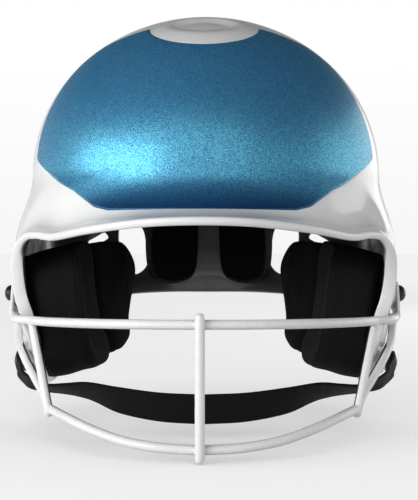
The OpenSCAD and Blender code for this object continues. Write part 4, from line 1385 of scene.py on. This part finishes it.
def studio(look):
    """A backdrop for the camera, a darker room for reflections and soft light from above."""
    world = bpy.data.worlds.new("studio")
    world.use_nodes = True
    tree = world.node_tree
    tree.nodes.clear()
    where = put(tree, "ShaderNodeTexCoord").outputs["Generated"]
    sky = put(tree, "ShaderNodeSeparateXYZ", {0: where}).outputs
    backdrop = span(tree, sky[2], 0, 0.16, look.horizon, 1)
    room = product(tree, span(tree, sky[2], 0.05, 0.5, 0.75, look.ceiling),
                   span(tree, sky[1], -0.97, -0.75, look.dark_front, 1))
    direct = put(tree, "ShaderNodeLightPath").outputs["Is Camera Ray"]
    strength = sums(tree, "ADD", product(tree, backdrop, direct),
                    product(tree, room, sums(tree, "SUBTRACT", 1.0, direct)))
    seen = put(tree, "ShaderNodeBackground", {"Color": (1, 1, 1, 1), "Strength": strength})
    light = product(tree, span(tree, sky[2], 0.05, 0.75, 1, 0.06), look.ambient)
    soft = put(tree, "ShaderNodeBackground", {"Color": (1, 1, 1, 1), "Strength": light})
    mix = put(tree, "ShaderNodeMixShader",
              {0: shown_share(tree), 1: soft.outputs[0], 2: seen.outputs[0]})
    tree.links.new(mix.outputs[0], put(tree, "ShaderNodeOutputWorld").inputs[0])
    return world


class HELMET_OT_stage(bpy.types.Operator):
    """Sets the camera, the pale floor and the soft studio lights"""
    bl_idname = "helmet.stage"
    bl_label = "Stage"

    def execute(self, context):
        look = look_of("stage")
        set_camera(look)
        mesh, low = bpy.data.meshes.new("floor"), CAD_BOX[0][2] - FLOOR_DROP
        corners = [(x * FLOOR_HALF, y * FLOOR_HALF, low)
                   for x, y in ((-1, -1), (1, -1), (1, 1), (-1, 1))]
        mesh.from_pydata(corners, [], [(0, 1, 2, 3)])
        floor = in_scene("floor", mesh)
        mesh.materials.append(pale_floor(look))
        context.scene.world = studio(look)
        context.scene.view_settings.view_transform = "Standard"
        for key, (name, place, size) in LIGHTS.items():
            area_light(name, place, size, getattr(look, key))
        return {"FINISHED"}


# ---------------------------------------------------------------- panel and registration

STEPS = ["stage", "shell", "panel", "guard", "fasteners", "pads", "strap", "snaps"]


class HELMET_PT_sidebar(bpy.types.Panel):
    """Lists the pieces of the helmet"""
    bl_idname = "HELMET_PT_sidebar"
    bl_label = "Batting helmet"
    bl_space_type = "VIEW_3D"
    bl_region_type = "UI"
    bl_category = "Helmet"

    def draw(self, context):
        for step in STEPS:
            self.layout.operator("helmet." + step)
        for name, look in LOOKS:
            box = self.layout.box()
            for key in look.__annotations__:
                box.prop(getattr(context.scene, "helmet_" + name), key)


CLASSES = [look for _, look in LOOKS] + [
    HELMET_OT_stage, HELMET_OT_shell, HELMET_OT_panel, HELMET_OT_guard, HELMET_OT_fasteners,
    HELMET_OT_pads, HELMET_OT_strap, HELMET_OT_snaps, HELMET_PT_sidebar]


def register():
    for item in CLASSES:
        bpy.utils.register_class(item)
    for name, look in LOOKS:
        setattr(bpy.types.Scene, "helmet_" + name, PointerProperty(type=look))


def unregister():
    for name, _ in LOOKS:
        delattr(bpy.types.Scene, "helmet_" + name)
    for item in reversed(CLASSES):
        bpy.utils.unregister_class(item)


def main():
    register()
    for step in STEPS:
        getattr(bpy.ops.helmet, step)()


if __name__ == "__main__":
    main()
